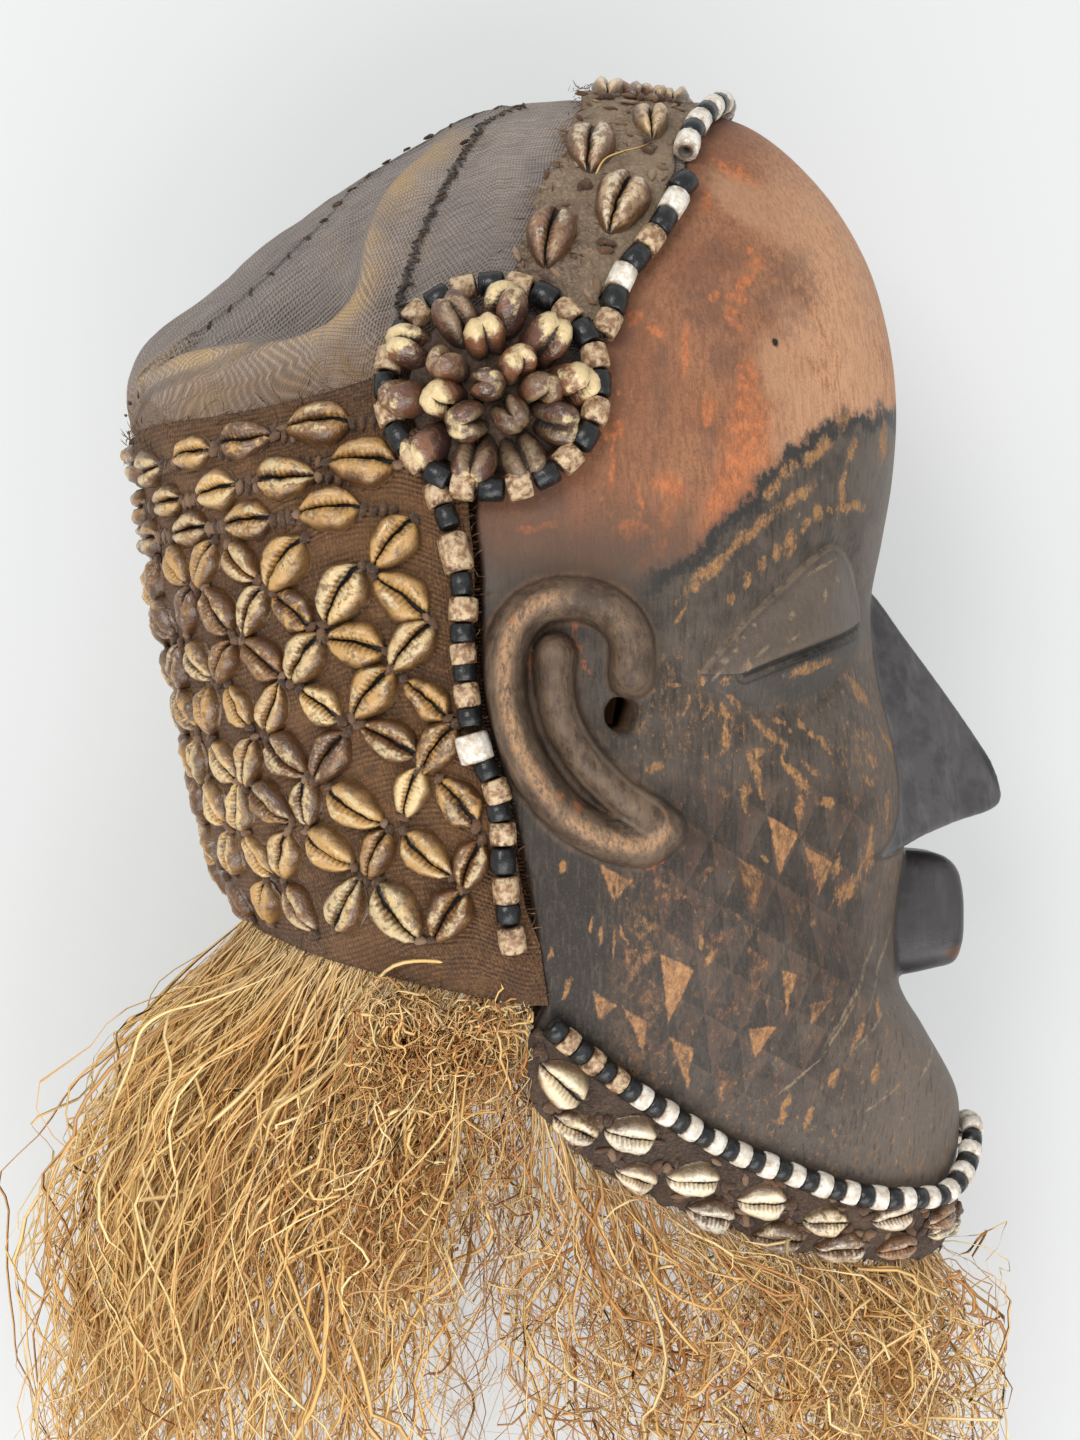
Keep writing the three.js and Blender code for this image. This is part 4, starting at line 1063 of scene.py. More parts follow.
crown = {
    "rows": 104, "columns": 164, "thick": 1.2, "turn": (72.2, 148.5), "rear": -157.0, "pixel": 0.37,
    "rearSeam": [(129, 430), (155, 381), (204, 332), (268, 279), (321, 227), (351, 193), (396, 159),
                 (449, 129), (486, 114), (524, 107)],
    "frontSeam": [(524, 108), (486, 125), (467, 151), (445, 189), (430, 219), (418, 249), (403, 291),
                  (398, 330)],
    "fold": [(452, 134), (436, 152), (414, 178), (394, 202), (381, 226), (374, 252), (370, 280), (360, 303), (340, 327),
             (318, 342), (290, 350), (255, 353), (215, 359), (180, 368), (157, 382)],
    "creases": [[(330, 330), (352, 300), (372, 262)], [(340, 345), (372, 318), (384, 296)],
                [(300, 344), (322, 330), (330, 314)]],
    "dimple": (322, 333), "ridge": 5.0, "hollow": 11.0, "sunk": 5.0,
    "stitches": {"rearSeam": (9.0, (2.2, 0.6, 0.7), 0.1), "frontSeam": (1.3, (1.9, 0.55, 0.7), 0.9)},
}


def makeCrown(finish):
    c = crown
    hem = throughPoints([(-172, 102), *crownHem[1:], (-6, 105), (8, 115), (18, 126)][::-1], 12)
    hem = hem[hem[:, 0] > c["rear"]]
    low = evenly(hem, c["rows"])
    turn = np.radians(np.linspace(*c["turn"], c["rows"]))
    far = outlineRadius(turn)
    high = fanCentre[:2] + np.stack((np.cos(turn), np.sin(turn)), 1) * far[:, None]
    front = np.array(hairline[:1:-1], float) - (1.2, 0)
    lines = []
    share = np.linspace(0, 1, 9)[:, None]
    for i in range(c["rows"]):
        straight = low[i] + (high[i] - low[i]) * share
        keep = max(0, 1 - i / 28) ** 1.5
        bent = straight + keep * (front - (front[0] + (front[-1] - front[0]) * share))
        lines.append(overHead([*bent, high[i] + (high[i] - low[i]) * 0.12], -0.4, c["columns"]))
    grid = np.array(lines)
    flat = grid.reshape(-1, 3)
    both = flat * np.where(flat[:, 2:] < 0, (1, 1, -1), 1)
    rear, ahead = nearLine(both, seenAt(c["rearSeam"])), nearLine(both, seenAt(c["frontSeam"]))
    u, v = seenFrom(flat)
    # the side panel has sunk in behind its front and lower edges, which stand up as a worn fold
    foldLine = throughPoints(c["fold"], 5)
    panel = shapeDistance(u, v, [*foldLine, *c["rearSeam"]]) * c["pixel"]
    fold = lineDistance(u, v, foldLine)[0] * c["pixel"]
    within = panel < 0
    corner = np.hypot(u - c["dimple"][0], (v - c["dimple"][1]) * 1.3) * c["pixel"]
    ridge = np.exp(-((fold / np.where(within, 3.2, 7.5)) ** 2))
    hollow = c["hollow"] * smoothstep(-panel, 0.5, 7) * np.exp(-((corner / 19) ** 2))
    sunk = np.where(within, hollow + c["sunk"] * smoothstep(-panel, 1, 13), 0)
    rise = c["ridge"] * ridge * smoothstep(v, 125, 200) - sunk
    for line in c["creases"]:
        near, share = lineDistance(u, v, throughPoints(line, 5))
        rise += 1.3 * np.exp(-((near * c["pixel"] / 2.2) ** 2)) * np.sin(math.pi * np.clip(share, 0.02, 0.98))
    rise += 1.3 * np.exp(-((rear / 1.3) ** 2)) - 0.9 * np.exp(-(((rear - 3.2) / 1.8) ** 2))
    rise += 1.3 * np.exp(-((ahead / 1.6) ** 2)) - 0.9 * np.exp(-(((ahead - 3.8) / 2.0) ** 2))
    rise += 0.8 * hills(flat, 60, 3) + 0.4 * hills(flat, 22, 4) + 0.12 * hills(flat, 6, 6)
    marks = {
        "seam": np.minimum(rear * 1.6, ahead),
        # along the fold: dust and a painted highlight
        "worn": np.exp(-((fold / np.where(within, 2.4, 5.5)) ** 2)),
        "panel": np.where(within, 1.0, 0.0),
        "hem": lineDistance(flat[:, 0], flat[:, 1], throughPoints(crownHem, 4))[0],
    }
    piece = makeCloth("crown_cloth", grid, c["thick"], finish, "hood_crown", rise, marks)
    # overcast stitches: close and ragged down the front seam, far apart on the rear one
    rng = np.random.default_rng(7)
    for seam, (pitch, size, stray) in c["stitches"].items():
        laid = throughPoints(seenAt(c[seam], 0.4), 12)
        path = onSkin(evenly(laid, int(lengthOf(laid) / pitch)), 0.9)
        way = unit(np.gradient(path, axis=0))
        for flip in (1, -1):
            places = path * (1, 1, flip)
            up = skinNormal(places)
            over = np.cross(up, way * (1, 1, flip))
            lean = rng.uniform(0.3, 1.2, (len(path), 1))
            slant = way * (1, 1, flip) * lean + over * rng.choice((-0.9, 0.9), (len(path), 1))
            addLumps(places + over * rng.normal(0, stray, (len(path), 1)), up, slant, size, 1.0)
    return piece


hoodBack = {"rows": 76, "columns": 190, "thick": 1.6, "top": 112, "low": -97.5, "corner": (3.2, 62, 78)}


def makeHoodBack(finish):
    h = hoodBack
    forward, *cornerFrom = h["corner"]
    rim = shifted(throughPoints([*templeEdge[1:], *rearRim], 6), -2.4)
    top = np.array(crownHem)
    low = np.array([(-210, -40), *hoodHem])
    lines = []
    for v in np.linspace(0, 1, h["rows"]):
        y = h["top"] * (1 - v) + h["low"] * v
        x = np.interp(-y, -rim[:, 1], rim[:, 0]) + forward * smoothstep(-y, *cornerFrom)
        across = np.linspace(x, -200, 24)
        up = np.interp(across, top[:, 0], top[:, 1])
        down = np.interp(across, low[:, 0], low[:, 1])
        lines.append(overHead(np.stack((across, up * (1 - v) + down * v), 1), 0.0, h["columns"]))
    grid = np.array(lines)
    flat = grid.reshape(-1, 3)
    rise = 0.5 * hills(flat, 30, 11) + 0.3 * hills(flat, 9, 12) + 0.1 * hills(flat, 3.5, 13)
    return makeCloth("hood_cloth", grid, h["thick"], finish, "hood_back", rise)


bands = {"rows": 20, "columns": 290, "thick": 2.0, "rise": 2.8, "knots": {"hair_band": 130, "chin_band": 90},
         "paleness": {"hair_band": -0.45, "chin_band": 0.0}}


def makeBands(hairFinish, chinFinish):
    b = bands
    made = []
    rearHair = evenly(throughPoints(hairBandRear[::-1], 10), 40)
    frontHair = evenly(shifted(throughPoints(hairline[::-1], 10), 4.5), 40)
    jawTop = shifted(throughPoints(jawString, 6), -5.0)
    topChin = evenly(np.concatenate(([(-4, -108)], jawTop)), 60)
    lowChin = evenly(throughPoints(chinBandLow, 8), 60)
    for name, first, last, node, finish in (
        ("hair_band_cloth", rearHair, frontHair, "hair_band", hairFinish),
        ("chin_band_cloth", topChin, lowChin, "chin_band", chinFinish),
    ):
        fine = [evenly(throughPoints(line, 6), 160) for line in (first, last)]
        first, last = (line + 1.1 * hills(line, 9, 23)[:, None] * unit(fine[0] - fine[1]) for line in fine)
        shares = np.linspace(0, 1, b["rows"])
        grid = np.array([overHead(first * (1 - v) + last * v, b["rise"], b["columns"]) for v in shares])
        flat = grid.reshape(-1, 3)
        rise = 0.6 * hills(flat, 11, 21) + 0.5 * hills(flat, 4.5, 22) + 0.25 * hills(flat, 2.4, 24)
        made.append(makeCloth(name, grid, b["thick"], finish, node, rise))
        # knots of the sewing thread, thickest along the edge away from the beads
        rng = np.random.default_rng(25)
        count = b["knots"][node]
        row = (rng.uniform(0, 1, count) ** 1.6 * (b["rows"] - 1)).astype(int)
        row = row if node == "hair_band" else b["rows"] - 1 - row
        column = rng.integers(0, b["columns"], count)
        knots = grid[row, column]
        up = skinNormal(knots)
        turned = slanted(up, rng.uniform(0, 180, count))
        sizes = rng.uniform(0.6, 1.3, (count, 1)) * (2.4, 1.1, 0.7)
        addLumps(knots + up * 0.5, up, turned, sizes, b["paleness"][node])
    return made


# Thread lumps, all in one piece
def makeThreads(finish):
    turn = np.arange(6) * math.pi / 3
    profile = np.array([(-1, 0.25), (-0.5, 0.9), (0.4, 0.95), (1, 0.2)])
    x, r = np.repeat(profile[:, :1], 6, 1), profile[:, 1:]
    points = np.stack((x, r * np.cos(turn + x * 0.7), r * np.sin(turn + x * 0.7)), -1).reshape(-1, 3)
    faces = [gridFaces(4, 6, roundColumns=True)[:, ::-1]]
    ends = [np.array([[0, 1, 2, 3], [0, 3, 4, 5]]), np.array([[18, 21, 20, 19], [18, 23, 22, 21]])]
    places, ups, alongs, sizes, shades = (np.concatenate(part) for part in zip(*threadLumps))
    rng = np.random.default_rng(31)
    sizes = sizes * rng.uniform(0.75, 1.25, sizes.shape)
    world, allFaces = stamped(points, [*faces, *ends], places, axesOn(ups, alongs), sizes)
    world += 0.25 * np.stack([hills(world, 3.0, 32 + k) for k in range(3)], 1)
    shade = np.repeat(rng.uniform(0, 1, len(places)) + shades, len(points))
    makePiece("sewing_threads", world, allFaces, finish, {"shade": shade})
    print("mask: sewing threads tied,", len(places))


# Raffia

fringes = {
    "nape": {
        "root": [(-6, -95.5), (-38, -89.5), (-73, -81.5), (-108, -74.5), (-140, -65)], "rootIn": -4.0,
        "middle": [(-20, -205, 50), (-52, -205, 60), (-98, -205, 50), (-146, -205, 15), (-170, -205, -30),
                   (-142, -205, -86), (-92, -205, -110), (-48, -205, -113), (-18, -205, -113)],
        "end": [(-28, -335, -10), (-62, -340, 2), (-108, -345, -2), (-162, -345, -24), (-204, -345, -62),
                (-162, -345, -104), (-104, -345, -113), (-55, -340, -113), (-24, -335, -113)],
    },
    "chin": {
        "root": [tuple(p) for p in chinBandLow], "rootIn": -4.0,
        "middle": [(14, -240, 38), (48, -252, 40), (92, -262, 28), (130, -268, 0), (160, -270, -32),
                   (130, -268, -82), (92, -262, -106), (48, -252, -113), (10, -240, -113)],
        "end": [(18, -335, -15), (56, -340, -5), (100, -345, -12), (142, -345, -34), (170, -345, -66),
                (142, -345, -102), (100, -345, -113), (56, -340, -113), (18, -335, -113)],
    },
}
hanging = {"floor": -119.2, "locks": 60, "lockStep": 5.2, "lockTurn": 0.5}


def along(line, share):
    line = np.asarray(line, float)
    want = np.clip(share, 0, 1) * (len(line) - 1)
    return np.stack([np.interp(want, np.arange(len(line)), line[:, k]) for k in range(3)], -1)


# Flat ribbons along paths of shape (strands, points, 3), each a closed three-sided blade
def ribbons(name, paths, halfWide, finish, node, seed, tint=0.0, slot="raffia"):
    rng = np.random.default_rng(seed)
    n, m = paths.shape[:2]
    if slot == "raffia" and node != "hair_band":  # strands that stray out of the fringe turn back into it
        low, high = (np.array(v) * 1000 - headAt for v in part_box(node))
        low, high = low - (8, 8, 0), high + (8, 8, 6)
        turned = rng.uniform(1.2, 1.9, (n, 1, 1))
        paths = paths - turned * np.maximum(paths - high, 0) + turned * np.maximum(low - paths, 0)
        paths = np.clip(paths, low, high)
    paths[..., 2] = np.maximum(paths[..., 2], hanging["floor"] + rng.uniform(0, 2.5, (n, 1)))
    way = unit(np.gradient(paths, axis=1))
    side = unit(np.cross(way, rng.normal(size=(n, 1, 3))))
    third = np.cross(way, side)
    t = np.linspace(0, 1, m)[None, :]
    twist = rng.uniform(0, 6.3, (n, 1)) + rng.uniform(-5, 5, (n, 1)) * t
    wide = halfWide[:, None] * (1 - 0.75 * smoothstep(t, 0.75, 1.0)) * (0.6 + 0.4 * smoothstep(t, 0, 0.1))
    corners = []
    for a, flat in ((0.0, 1.0), (math.pi, 1.0), (math.pi / 2, 0.34)):
        x = np.cos(twist + a) * wide * flat
        y = np.sin(twist + a) * wide * flat
        corners.append(paths + x[..., None] * side + y[..., None] * third)
    points = np.stack(corners, 2).reshape(-1, 3)
    one = gridFaces(m, 3, roundColumns=True)
    start = np.arange(n)[:, None, None] * m * 3
    faces = (one[None] + start).reshape(-1, 4)
    caps = np.array([[0, 1, 2], [3 * m - 1, 3 * m - 2, 3 * m - 3]])
    caps = (caps[None] + start).reshape(-1, 3)
    # the third mark holds how brown a strand is, painted shade included
    straw = np.stack((
        np.repeat(rng.uniform(0, 1, n), m * 3), np.tile(np.repeat(np.linspace(0, 1, m), 3), n),
        np.repeat(np.clip(rng.uniform(0, 1, n) + tint, 0, 1), m * 3),
    ), 1)
    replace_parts(makePiece(name, points, [faces[:, ::-1], caps[:, ::-1]], finish, {"straw": straw}), node)
    print(f"mask: {name}, {n} strands, {n * (6 * (m - 1) + 2)} triangles")


# Curls of strands about their course: the way they lean turns at each point about an axis
# that itself drifts, and the path comes back to where it started
def curls(rng, n, m, step, turn, keep=0.8):
    way = unit(rng.normal(size=(n, 3)))
    spin = rng.normal(size=(n, 3)) * turn
    path = np.zeros((n, m, 3))
    for i in range(1, m):
        spin = keep * spin + rng.normal(size=(n, 3)) * turn * math.sqrt(1 - keep * keep)
        way = unit(way + np.cross(spin, way))
        path[:, i] = path[:, i - 1] + way * step
    return path - np.linspace(0, 1, m)[None, :, None] * path[:, -1:]


# Strands that leave a hem together, hang through the fringe's middle line and end near its
# end line in locks, curling more the further they are from the hem
def hang(fringe, shares, seed, points, swing=(1.0, 0.0), curl=1.0, reach=(0.55, 1.05)):
    f = fringes[fringe]
    rng = np.random.default_rng(seed)
    n, m = len(shares), points
    roots = overHead(f["root"], f["rootIn"], 200)
    root = along(roots, shares) + rng.normal(size=(n, 3)) * (0.8, 0.8, 0.8)
    swung = shares * swing[0] + swing[1]
    middle = along(f["middle"], swung + rng.normal(0, 0.03, n)) + rng.normal(size=(n, 3)) * (9, 8, 8)
    end = along(f["end"], swung + rng.normal(0, 0.06, n)) + rng.normal(size=(n, 3)) * (18, 12, 10)
    far = rng.uniform(*reach, n)[:, None, None]
    t = np.linspace(0, 1, m)[None, :, None] * far
    control = 2 * middle - (root + end) / 2
    path = (1 - t) ** 2 * root[:, None] + 2 * t * (1 - t) * control[:, None] + t * t * end[:, None]
    grow = smoothstep(t, 0.0, 0.28) * curl
    locks = curls(rng, hanging["locks"], m, hanging["lockStep"], hanging["lockTurn"])
    last = hanging["locks"] - 1
    lock = (shares - shares.min()) / np.ptp(shares) * last + rng.normal(0, 0.9, n)
    lock = np.clip(lock, 0, last).astype(int)
    own = curls(rng, n, m, 1.0, 1.0, 0.86) * rng.choice((1.5, 3.4, 5.4), (n, 1, 1), p=(0.25, 0.45, 0.3))
    tight = curls(rng, n, m, 1.0, 1.5, 0.7) * rng.uniform(0, 1, (n, 1, 1)) ** 1.5 * 3.0
    return path + grow * (locks[lock] * far + own + tight) * (1, 0.8, 0.8)


# Crumpled strands, tightly curled, scattered between two lines of places: across, up, height
def crumple(seed, n, points, first, last, long, step, turn):
    rng = np.random.default_rng(seed)
    share = rng.uniform(0, 1, n)
    start = along(first, share) + rng.normal(size=(n, 3)) * (3, 1.5, 3)
    end = along(last, np.clip(share + rng.normal(0, 0.12, n), 0, 1)) + rng.normal(size=(n, 3)) * (5, 6, 5)
    part = rng.uniform(0, 1, (n, 1)) ** 1.4 * (1 - long)
    root = start + (end - start) * part
    tip = start + (end - start) * np.minimum(part + long, 1)
    t = np.linspace(0, 1, points)[None, :, None]
    path = root[:, None] * (1 - t) + tip[:, None] * t
    return path + curls(rng, n, points, step, turn, 0.75) * rng.uniform(0.4, 1.2, (n, 1, 1))


# Single strands that stand out in the photograph: their places there, heights and widths
looseStrands = {
    "nape_raffia_strays": ("nape_fringe", [
        ([(360, 1000, 88), (393, 966, 93), (432, 961, 94), (465, 969, 94), (498, 992, 93), (511, 1013, 90), (519, 1045, 84),
          (529, 1085, 76), (534, 1126, 70), (532, 1190, 60)], 0.7),
        ([(300, 962, 66), (250, 985, 66), (200, 1003, 62), (165, 1013, 58), (142, 1030, 52), (131, 1062, 44),
          (112, 1110, 36), (104, 1150, 28)], 0.75),
        ([(330, 985, 74), (290, 1040, 74), (245, 1092, 72), (205, 1130, 68), (176, 1180, 60), (150, 1245, 50),
          (140, 1310, 40)], 0.85),
        ([(345, 1000, 76), (300, 1070, 78), (262, 1120, 76), (238, 1175, 72), (222, 1235, 66),
          (206, 1318, 56)], 0.8),
        ([(430, 1110, 66), (470, 1150, 60), (520, 1190, 50), (560, 1216, 40)], 0.8),
        ([(448, 1150, 62), (440, 1200, 58), (428, 1260, 52), (420, 1300, 48)], 0.6),
        ([(210, 1010, 50), (140, 1090, 44), (90, 1130, 34), (60, 1190, 22), (44, 1290, 10), (60, 1300, 6),
          (110, 1296, 2)], 0.5),
        ([(190, 1060, 40), (110, 1150, 30), (60, 1210, 20), (22, 1300, 6), (40, 1330, 0)], 0.5),
    ]),
    "hair_raffia_stray": ("hair_band", [([(595, 186, 0), (604, 172, 0), (620, 165, 0), (637, 160, 0),
                                          (652, 154, 0)], 0.55)]),
}


def strayPaths(strands, count):
    paths = []
    for places, _ in strands:
        p = np.array(places, float)
        if p[0, 2] == 0 and p[-1, 2] == 0:
            laid = seenAt(p[:, :2], 5.5)
        else:
            laid = lensPlace(*p.T)
        paths.append(evenly(throughPoints(laid, 8), count))
    return np.array(paths)


# Bundles of strands: how many, their shares of the way round the hem, points on each, how they
# swing sideways, curl and reach, their widths, and how brown they are, painted shade included
bundles = {
    "nape_raffia_near": {"fringe": "nape", "count": 860, "shares": (0.02, 0.56),
                         "points": 29, "swing": (0.86, 0.10), "wide": (0.28, 1.0)},
    "nape_raffia_sparse": {"fringe": "nape", "count": 60, "shares": (0.0, 0.06),
                           "points": 34, "swing": (1.8, 0.0), "wide": (0.2, 0.45),
                           "curl": 1.7, "brown": 0.6, "reach": (0.4, 1.0)},
    "nape_raffia_far": {"fringe": "nape", "count": 270, "shares": (0.46, 0.9),
                        "points": 26, "wide": (0.26, 0.7), "brown": 0.45},
    "nape_raffia_left": {"fringe": "nape", "count": 60, "shares": (0.9, 1.0),
                         "points": 26, "wide": (0.22, 0.5), "brown": 0.6, "curl": 1.4},
    "beard_raffia_near": {"fringe": "chin", "count": 420, "shares": (0.0, 0.56),
                          "points": 30, "wide": (0.25, 0.8), "brown": 0.2, "curl": 1.25},
    "beard_raffia_far": {"fringe": "chin", "count": 240, "shares": (0.46, 1.0),
                         "points": 26, "wide": (0.24, 0.6), "brown": 0.55, "curl": 1.3},
}
clumps = {
    "nape_raffia_crumpled": {"count": 270, "points": 26, "long": 0.8, "step": 3.6, "turn": 0.75,
                             "from": [(-8, -101, 92), (-34, -97, 96), (-60, -92, 97)],
                             "to": [(-16, -122, 80), (-36, -132, 84), (-60, -138, 86)]},
    "nape_raffia_curled": {"count": 150, "points": 28, "long": 0.45, "step": 3.4, "turn": 0.75,
                           "from": [(-60, -118, 88), (-50, -120, 88), (-36, -122, 86)],
                           "to": [(-66, -212, 70), (-52, -214, 70), (-40, -206, 68)]},
}


def makeRaffia(finish):
    rng = np.random.default_rng(101)
    half = lambda n, low, high: low + (high - low) * rng.uniform(0, 1, n) ** 2.2
    for i, (name, b) in enumerate(bundles.items()):
        low, high = b["shares"]
        shares = low + (high - low) * (np.arange(b["count"]) + rng.uniform(0, 1, b["count"])) / b["count"]
        shape = {key: b[key] for key in ("swing", "curl", "reach") if key in b}
        paths = hang(b["fringe"], shares, 103 + i, b["points"], **shape)
        node, wide = f"{b['fringe']}_fringe", half(b["count"], *b["wide"])
        ribbons(name, paths, wide, finish, node, 130 + i, b.get("brown", 0.0))
    for i, (name, c) in enumerate(clumps.items()):
        paths = crumple(111 + i, c["count"], c["points"], c["from"], c["to"], c["long"], c["step"], c["turn"])
        # browner by 0.35: painted shade between the crumpled curls
        ribbons(name, paths, half(c["count"], 0.22, 0.75), finish, "nape_fringe", 140 + i, 0.35)
    for i, (name, (node, strands)) in enumerate(looseStrands.items()):
        ribbons(name, strayPaths(strands, 40), np.array([w for _, w in strands]), finish, node, 115 + i)
    print("mask: raffia hung")


# Loose fibres of the cloths, short and curled, along their edges
hairBandLines = [evenly(throughPoints(line[::-1]), 12) for line in (hairBandRear, hairline)]
fuzz = [
    {"line": shifted(crownHem, -1.0), "count": 380, "long": (3, 8), "lift": 1.5, "stray": 2.2},
    {"line": hairBandRear, "count": 200, "long": (2, 6), "lift": 4.0, "stray": 2.0},
    {"line": sum(hairBandLines) / 2, "count": 260, "long": (2, 5), "lift": 4.2, "stray": 5.0},
    {"line": shifted([*templeEdge[1:], *rearRim], -2.0), "count": 160, "long": (2, 5), "lift": 0.5, "stray": 0.8},
    {"line": hoodHem, "count": 160, "long": (2, 6), "lift": 0.5, "stray": 0.8},
]


def makeFuzz(finish):
    rng = np.random.default_rng(120)
    paths = []
    for edge in fuzz:
        place = overHead(edge["line"], edge["lift"], edge["count"])
        way = unit(np.gradient(place, axis=0))
        up = skinNormal(place)
        over = np.cross(up, way)
        n = len(place)
        place = place + over * rng.normal(0, edge["stray"], (n, 1)) + way * rng.normal(0, 1.0, (n, 1))
        lean = over * rng.normal(0, 1.0, (n, 1)) + way * rng.normal(0, 0.8, (n, 1))
        lean = unit(lean + up * rng.uniform(0.1, 0.7, (n, 1)))
        long = rng.uniform(*edge["long"], (n, 1, 1))
        t = np.linspace(0, 1, 5)[None, :, None]
        bend = np.cross(lean, unit(rng.normal(size=(n, 3))))
        curl = lean[:, None] * t + bend[:, None] * 0.5 * t * t - up[:, None] * 0.25 * t * t
        paths.append(place[:, None] + curl * long)
    paths = np.concatenate(paths)
    ribbons("cloth_fibres", paths, rng.uniform(0.12, 0.26, len(paths)), finish, "hood_back", 121, slot="hood_cloth")


# The carved face with fewer corners inside, and what its paint needs to know at each corner
faceThinning = {"ratio": 0.335, "outer": 0.2, "innerFrom": 0.935}


def makeFace(finish):
    t = faceThinning
    rough = makePiece("face_blank", woodPoints, [woodFaces], finish)
    level = skinLevel(woodPoints)
    group = rough.vertex_groups.new(name="inner")
    for where, weight in ((level < t["innerFrom"], 1.0), (level >= t["innerFrom"], t["outer"])):
        group.add(np.flatnonzero(where).tolist(), weight, "REPLACE")
    thin = rough.modifiers.new("thin", "DECIMATE")
    thin.ratio, thin.vertex_group, thin.vertex_group_factor = t["ratio"], "inner", 1.0
    bpy.context.view_layer.update()
    mesh = rough.evaluated_get(bpy.context.evaluated_depsgraph_get()).to_mesh()
    points = np.empty(len(mesh.vertices) * 3)
    mesh.vertices.foreach_get("co", points)
    points = points.reshape(-1, 3) * 1000 - headAt
    mesh.calc_loop_triangles()
    faces = np.empty(len(mesh.loop_triangles) * 3, np.int32)
    mesh.loop_triangles.foreach_get("vertices", faces)
    blank = rough.data
    del pieces["face_blank"]
    bpy.data.objects.remove(rough)
    bpy.data.meshes.remove(blank)

    x, y, z = points[:, 0], points[:, 1], np.abs(points[:, 2])
    border = seenAt(paintEdge)[:, :2]
    dark = shapeDistance(x, y, [*border, (300, border[-1][1]), (300, -300), (-60, -300), (-60, border[0][1])])
    lid = shapeDistance(x, y, throughPoints(face["lid"], 6, True))
    slitLine = throughPoints(face["slit"], 8)
    slit, _ = lineDistance(x, y, slitLine)
    back, _ = lineDistance(x, y, face["noseRidge"])
    flank = (z - 2.6 - 0.6 * back - 0.004 * back**2) * 0.84
    nose = np.maximum(shapeDistance(x, y, throughPoints(face["nose"], 4, True)), flank)
    mouth = np.maximum(shapeDistance(x, y, throughPoints(face["mouth"], 4, True)), z - mouthHalf(y))
    rim, _ = lineDistance(x, y, throughPoints(face["earRim"], 6))
    ridge, _ = lineDistance(x, y, throughPoints(face["earRidge"], 6))
    edge = shapeDistance(x, y, faceRegionLine())
    above = y > np.interp(x, slitLine[:, 0], slitLine[:, 1])
    marks = {
        "paint": np.stack((-dark, lid, np.where(above, slit, -slit)), 1),
        "form": np.stack((nose, mouth, -edge), 1),
        "back": back,
        "ear": np.stack((rim, ridge, 0 * rim), 1),
        "inside": smoothstep(-skinLevel(points), -0.955, -0.925),
    }
    piece = makePiece("carved_face", points, [faces.reshape(-1, 3)], finish, marks)
    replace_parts(piece, "wooden_face")
    print("mask: face thinned to", len(faces) // 3, "triangles")


pixelSize = 0.352  # millimetres on the cheek for one pixel of the photograph

# Paint of the face: where the dark paint ends, and brush strokes, scratches and worn spots.
# Each spot is its middle in the photograph's frame, its length and width, and its slant.
paintEdge = [
    (440, 566), (500, 570), (560, 584), (610, 594), (650, 573), (687, 553), (706, 534), (725, 511),
    (749, 490), (772, 468), (790, 452), (808, 434), (830, 424), (847, 416), (865, 414), (890, 412),
    (905, 404),
]
ochreSpots = [
    (706, 574, 62, 13, 44), (752, 530, 74, 11, 41), (796, 498, 46, 9, 38), (788, 470, 26, 14, 48),
    (824, 446, 24, 15, 40), (843, 424, 24, 12, 60), (772, 492, 20, 12, 50), (812, 458, 30, 9, 40),
    (853, 448, 20, 8, 88), (843, 490, 56, 6, 80), (852, 508, 34, 8, 16), (884, 438, 44, 8, 86),
    (789, 544, 26, 12, 84), (776, 551, 15, 9, 80), (761, 568, 18, 9, 84), (745, 580, 16, 8, 80),
    (760, 566, 18, 9, 80), (730, 597, 14, 9, 84), (817, 514, 17, 9, 80), (804, 528, 18, 8, 60),
    (828, 509, 10, 6, 90), (680, 614, 22, 5, 62), (812, 667, 62, 10, 14), (724, 682, 9, 9, 0),
    (734, 700, 17, 7, -40), (724, 711, 18, 7, 88), (724, 741, 30, 8, 86), (703, 683, 13, 6, 35),
    (674, 688, 14, 6, 0), (686, 709, 27, 4, 75), (704, 713, 20, 3, 62), (658, 767, 15, 11, 10),
    (768, 734, 38, 8, -40), (777, 721, 14, 6, -50), (786, 733, 8, 7, 0), (800, 725, 13, 7, -40),
    (810, 733, 9, 8, 0), (824, 744, 24, 7, -55), (859, 693, 38, 9, -52), (883, 740, 36, 8, -55),
    (812, 770, 22, 7, -40), (794, 775, 42, 9, -45), (756, 775, 42, 8, -75), (762, 752, 14, 8, 0),
    (745, 797, 26, 8, 80), (801, 806, 32, 8, 85), (826, 803, 14, 11, 0), (870, 760, 18, 6, -60),
    (866, 780, 16, 6, -60), (844, 890, 32, 18, 40), (868, 846, 40, 9, 86), (834, 866, 26, 6, 80),
    (882, 806, 40, 5, 88), (860, 872, 28, 6, 80), (592, 925, 16, 3, 84), (614, 946, 26, 3, 82),
    (602, 936, 18, 3, 78), (626, 936, 22, 3, -66), (567, 987, 24, 6, 76), (548, 952, 10, 4, 80),
    (562, 866, 10, 5, 70), (702, 942, 14, 5, 86), (712, 961, 16, 6, 70), (815, 922, 10, 6, 60),
    (722, 1092, 16, 7, 86), (784, 1108, 36, 8, 68), (808, 1118, 22, 6, 70), (834, 1079, 18, 7, 60),
    (873, 1076, 24, 8, 84), (857, 1037, 30, 6, 76), (878, 1010, 24, 5, 74), (764, 857, 12, 6, -60),
    (688, 1075, 20, 5, 88), (745, 668, 9, 7, 30),
]
